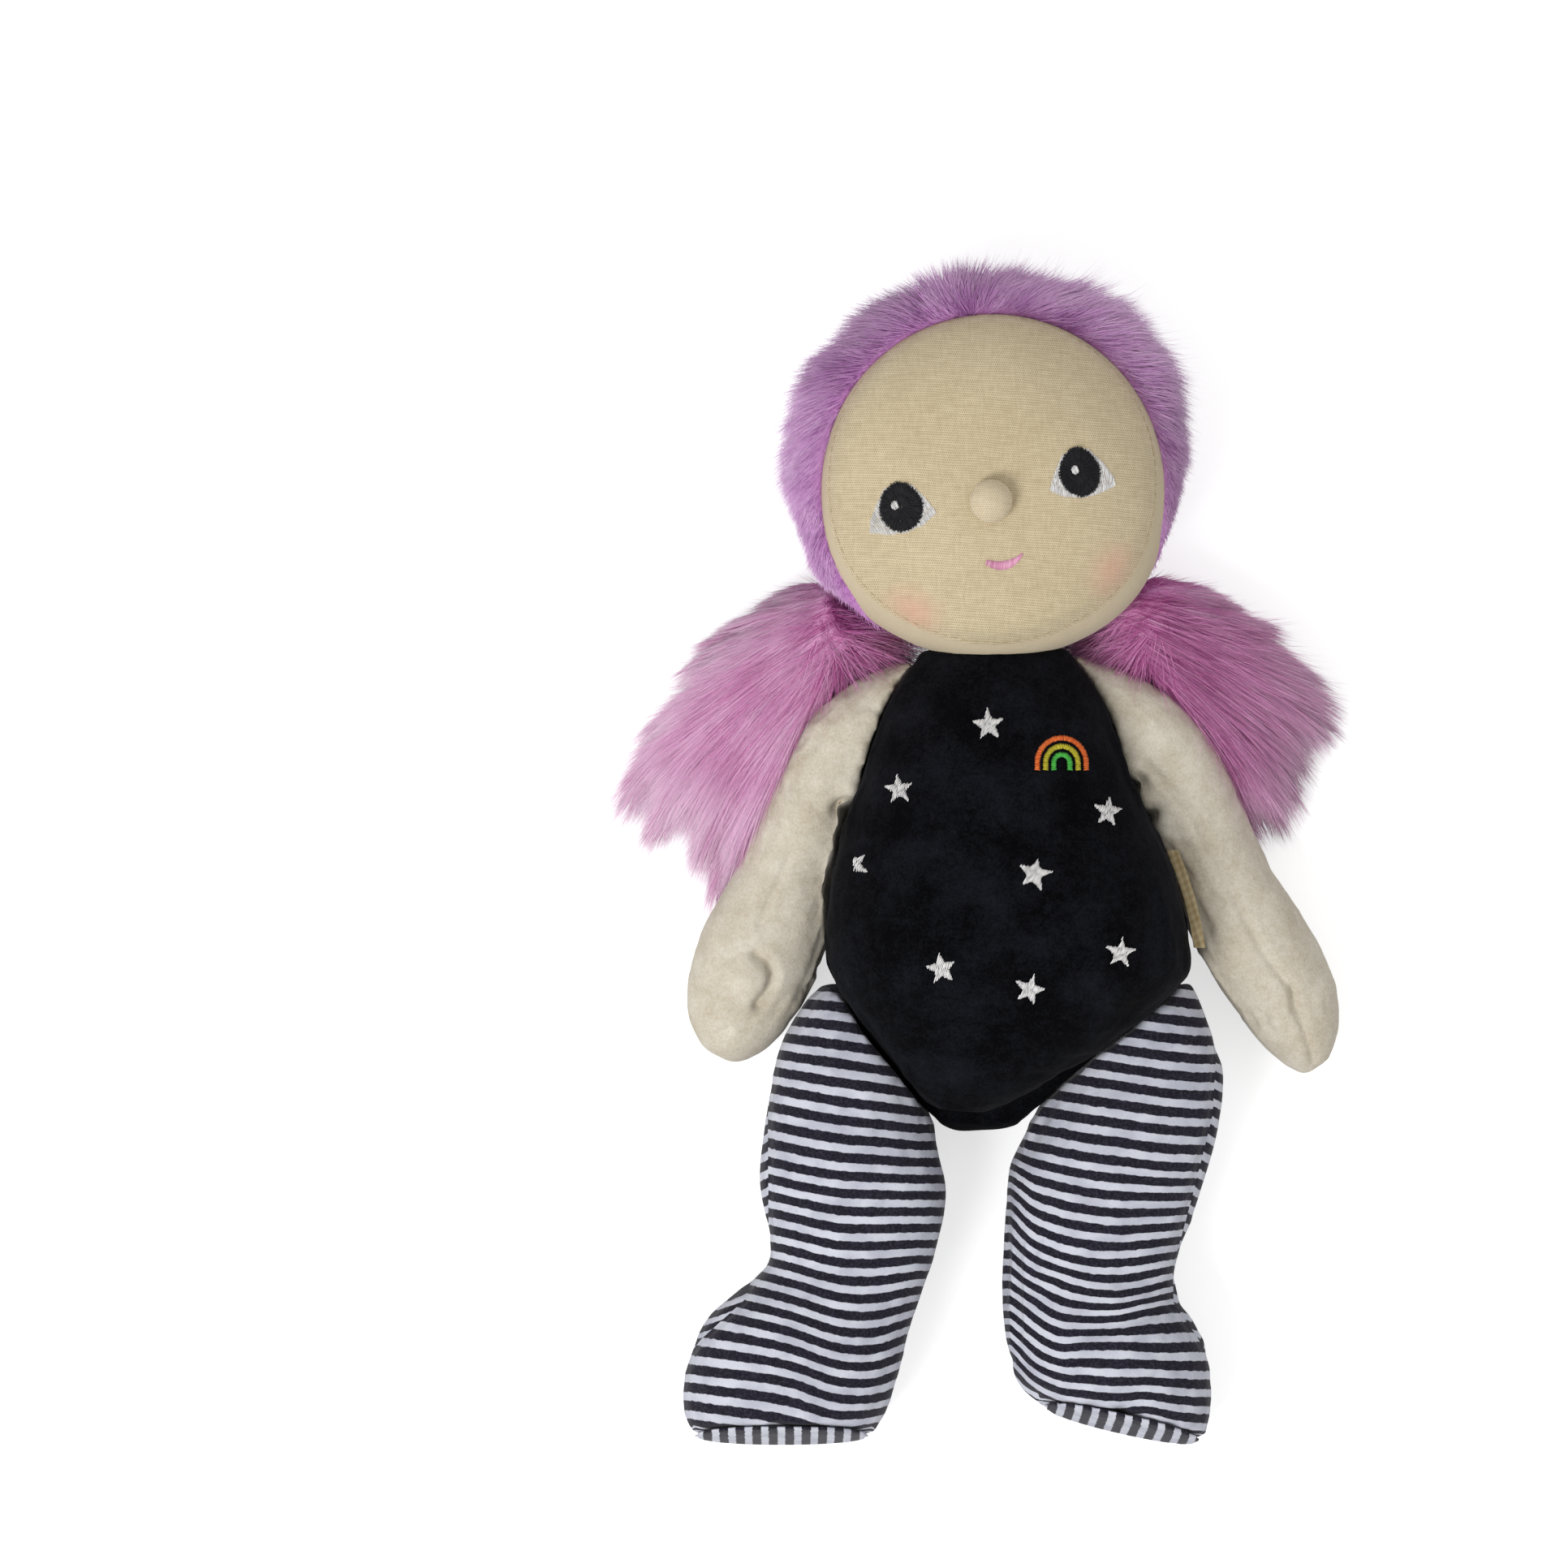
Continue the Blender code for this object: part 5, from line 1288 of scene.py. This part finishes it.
def comb_hair_cap(ground):
    """Stores how the fur is combed, where it grows, how long, and how light."""
    points, normals = point_array(ground), normal_array(ground)
    flat = points - np.array(HEAD_MIDDLE)
    around = np.arctan2(flat @ np.array(FACE_UP), flat @ np.array(FACE_RIGHT))
    radius = np.hypot(flat[:, 0], flat[:, 1])
    radial = np.stack([flat[:, 0] / radius.clip(1e-6), flat[:, 1] / radius.clip(1e-6), np.zeros(len(flat))],
                      axis=1)
    outer = np.arange(len(points)) >= HAIR_TURNS * len(HAIR_SHARES)
    outer[-2] = False
    front = soft_step(points[:, 2], 0.012, 0.045)
    side = np.cos(around)
    swept = -np.sign(side) * soft_step(np.abs(side), 0.0, 0.25)
    swirl = 0.80 * swept + 0.50 * waves(points, 11 * MM, 6)
    tangent = np.stack([-radial[:, 1], radial[:, 0], np.zeros(len(flat))], axis=1)
    comb = radial * 0.62 + tangent * swirl[:, None] + np.array([0, 0, 1.0]) * (0.22 * front - 0.12)[:, None]
    comb -= normals * (0.70 * (comb * normals).sum(axis=1))[:, None]
    shorn = np.array([max(chin_share(a), tucked(a)) for a in around])
    give(ground, "pale", 0.45 + 0.35 * waves(points, 9 * MM, 8))
    give(ground, "comb", comb)
    give(ground, "cover", outer * (0.06 + 0.94 * front) * (1 - 0.97 * shorn))
    length = np.array([pile(a) for a in around]) / (9 * MM)
    give(ground, "reach", length * (0.55 + 0.45 * soft_step(radius, 0.048, 0.056)) * (1 - 0.6 * shorn))
    tone = 0.30 + 0.45 * soft_step(radius, 0.049, 0.060) + 0.40 * waves(points, 13 * MM, 4)
    tone += 0.35 * side.clip(0)
    give(ground, "tone", np.clip(tone, 0, 1))
    give(ground, "flow", np.stack([around * HEAD_RADIUS, radius, points[:, 2]], axis=1))


def make_hair_cap():
    ground = hair_cap_shape()
    comb_hair_cap(ground)
    furred("hair_cap_pile", ground, LILAC_FUR, "fur_lilac", "hair_cap", density=3.9e6, seed=3,
           length=7.2 * MM, width=0.26 * MM, lift=0.26, stray=0.16, locks=0.50, lock_size=7 * MM, bend=0.12,
           segments=1)
    furred("hair_cap_wisps", ground, LILAC_FUR, "fur_lilac", "hair_cap", density=4.5e5, seed=8,
           length=9.0 * MM, width=0.15 * MM, lift=0.40, stray=0.45, locks=0.6, lock_size=9 * MM, bend=0.25,
           segments=2)
    finish(ground, LILAC_GROUND, "fur_lilac", "hair_cap")


def make_pigtails():
    # bright and lighter paint light: the right pigtail, on the key lamp's side, gets a lighter tone and paler
    # ends than the left one, which lies in shade.
    for side, sign, bend, bright, lighter, drawn_in in (("right", -1, 1, 0.70, 0.40, 0.09),
                                                        ("left", 1, -1, 0.30, 0.10, 0.14)):
        node = f"pigtail_{side}"
        root = np.array(HEAD_MIDDLE + Vector((sign * HEAD_RADIUS * 0.74, -HEAD_RADIUS * 0.78, 0)))[:2]
        ground = soft_copy(f"pigtail_{side}_ground", (node,), 1.9 * MM, 5)
        points, normals = point_array(ground), normal_array(ground)
        hanging = (points[:, :2] - root).mean(axis=0)
        hanging /= np.linalg.norm(hanging)
        spring = root - hanging * 16 * MM    # the fibres fan out from behind the tie
        flat = points[:, :2] - spring
        distance = np.linalg.norm(flat, axis=1)
        angle = np.arctan2(-flat[:, 1], flat[:, 0] * sign)
        bins = np.clip(((angle + 0.4) / 2.2 * 24).astype(int), 0, 23)
        far = np.array([max(distance[bins == b].max() if (bins == b).any() else 0.03, 0.03)
                        for b in range(24)])
        share = distance / far[bins]
        line = angle - 3.2 * distance
        ridges = np.array([noise.noise(Vector((a * 16, d * 22, sign))) for a, d in zip(line, distance)])
        ridges += 0.6 * np.array([noise.noise(Vector((a * 38, d * 30, 5.0))) for a, d in zip(line, distance)])
        upper = soft_step(normals[:, 2], -0.2, 0.4)
        move = -1.1 * MM + ridges * 1.2 * MM * upper * soft_step(distance, 0.020, 0.036)
        points = points + normals * move[:, None]
        shrunk = 1 - (drawn_in - 0.12 * ridges.clip(-0.6, 0.6)) * soft_step(share, 0.3, 1.0)
        points[:, :2] = spring + (points[:, :2] - spring) * shrunk[:, None]
        points[:, 2] = np.maximum(points[:, 2], 0.0)
        move_to(ground, points)
        outward = flat / distance.clip(1e-6)[:, None]
        fan = (0.45 + 0.55 * soft_step(distance, 0.022, 0.060))[:, None]
        outward = outward * fan + hanging * (1 - fan)
        turn = bend * np.clip(4.2 * (distance - 0.016), 0, 0.42)
        cos, sin = np.cos(turn), np.sin(turn)
        comb = np.stack([outward[:, 0] * cos - outward[:, 1] * sin,
                         outward[:, 0] * sin + outward[:, 1] * cos,
                         -0.25 * soft_step(share, 0.5, 1.0)], axis=1)
        give(ground, "comb", comb)
        give(ground, "cover", 0.08 + 0.92 * soft_step(normals[:, 2], -0.35, 0.2))
        edge = np.percentile(angle[distance > 0.035], 4)
        rounded = 0.45 + 0.55 * soft_step(angle, edge, edge + 0.40)
        give(ground, "reach", (1 - 0.40 * soft_step(share, 0.60, 1.0)) * rounded)
        # Paler towards the far end, as the fibres' tips are; the extra paleness from lighter is painted
        # light. The tone is painted shade near the tie, where the head shades the fur, and painted light
        # towards the ends; the ridges add real streaks.
        give(ground, "pale", 0.10 + (0.55 + 0.5 * lighter) * soft_step(share, 0.45, 1.0))
        tone = bright + lighter * soft_step(share, 0.25, 0.9) + 0.5 * ridges
        give(ground, "tone", np.clip(tone, 0, 1))
        give(ground, "flow", np.stack([line * 0.05, distance, points[:, 2] * 0.3], axis=1))
        furred(f"pigtail_{side}_locks", ground, PINK_FUR, "fur_pink", node, density=3.0e6, seed=12 + sign,
               length=23 * MM, width=0.26 * MM, lift=0.09, stray=0.07, locks=0.13, lock_size=12 * MM,
               bend=0.05, segments=1)
        furred(f"pigtail_{side}_tips", ground, PINK_FUR, "fur_pink", node, density=4.4e5, seed=32 + sign,
               length=28 * MM, width=0.14 * MM, lift=0.14, stray=0.34, locks=0.45, lock_size=9 * MM,
               bend=0.14, segments=2)
        # the short tangled fibres between the tie, the chin and the arm
        gathered = np.linalg.norm(points[:, :2] - root, axis=1)
        toward = np.array([-sign * 0.86, -0.52, 0.0])
        turned = soft_step(gathered, 6 * MM, 20 * MM)[:, None]
        give(ground, "comb", toward * (1 - turned) + comb * turned)
        give(ground, "cover", 1 - soft_step(gathered, 7 * MM, 22 * MM))
        # the tangle's low tone is painted shade between the chin, the arm and the tie
        give(ground, "tone", np.clip(0.30 + 0.6 * ridges, 0, 1))
        furred(f"pigtail_{side}_tangle", ground, PINK_FUR, "fur_pink", node, density=2.6e6, seed=52 + sign,
               length=21 * MM, width=0.25 * MM, lift=0.11, stray=0.38, locks=0.65, lock_size=6 * MM, bend=0.2,
               segments=1)
        finish(ground, PINK_GROUND, "fur_pink", node)


def make_label():
    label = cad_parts["side_label"]
    label.data.materials.clear()
    label.data.materials.append(TAPE)


# The set

STUDIO_LIGHT = 0.62
FLOOR_REACH = 14
LAMPS_AIM = Vector((-0.02, 0.0, 0.03))


def make_floor():
    """White paper that the camera sees as bright as the lit background."""
    floor = mesh_object("floor", [(x * FLOOR_REACH, y * FLOOR_REACH, 0)
                                  for x, y in ((-1, -1), (1, -1), (1, 1), (-1, 1))], [(0, 1, 2, 3)])
    material = bpy.data.materials.new("white floor")
    material.use_nodes = True
    tree = material.node_tree
    tree.nodes.remove(tree.nodes["Principled BSDF"])
    paper = put(tree, "ShaderNodeBsdfDiffuse", {"Color": (0.7, 0.7, 0.7, 1.0)}).outputs[0]
    glow = put(tree, "ShaderNodeEmission", {"Color": (1, 1, 1, 1), "Strength": STUDIO_LIGHT}).outputs[0]
    path = put(tree, "ShaderNodeLightPath")
    direct = calc(tree, "MAXIMUM", path.outputs["Is Camera Ray"],
                  calc(tree, "MAXIMUM", path.outputs["Is Glossy Ray"], path.outputs["Is Transmission Ray"]))
    lit = put(tree, "ShaderNodeAddShader", {0: paper, 1: glow}).outputs[0]
    shown = put(tree, "ShaderNodeMixShader", {0: direct, 1: paper, 2: lit}).outputs[0]
    tree.links.new(shown, tree.nodes["Material Output"].inputs["Surface"])
    floor.data.materials.append(material)


def lamp(name, place, power, size):
    light = bpy.data.lights.new(name, "AREA")
    light.energy = power
    light.size = size
    made = bpy.data.objects.new(name, light)
    SCENE.collection.objects.link(made)
    made.location = place
    made.rotation_euler = (LAMPS_AIM - Vector(place)).to_track_quat("-Z", "Y").to_euler()


def make_lights():
    world = bpy.data.worlds.new("studio")
    SCENE.world = world
    world.use_nodes = True
    world.node_tree.nodes["Background"].inputs["Color"].default_value = (1, 1, 1, 1)
    world.node_tree.nodes["Background"].inputs["Strength"].default_value = STUDIO_LIGHT
    lamp("key", (-0.9, -0.75, 1.5), 19.0, 0.7)
    lamp("fill", (1.1, 0.9, 1.6), 3.0, 1.2)


def make_camera():
    camera = bpy.data.cameras.new("camera")
    camera.sensor_width = 36.0
    camera.lens = 36.0 * FOCAL_PIXELS / (2 * MIDDLE_PIXEL)
    camera.clip_end = 20.0
    made = bpy.data.objects.new("camera", camera)
    made.location = CAMERA_AT
    SCENE.collection.objects.link(made)
    SCENE.camera = made
    SCENE.view_settings.view_transform = "Standard"


make_floor()
make_lights()
make_camera()
make_body()
make_arms()
make_legs()
make_head_ball()
make_face()
make_top_stitch()
make_nose()
make_eyes()
make_mouth()
make_stars()
make_rainbow()
make_hair_cap()
make_pigtails()
make_label()

bpy.context.view_layer.update()
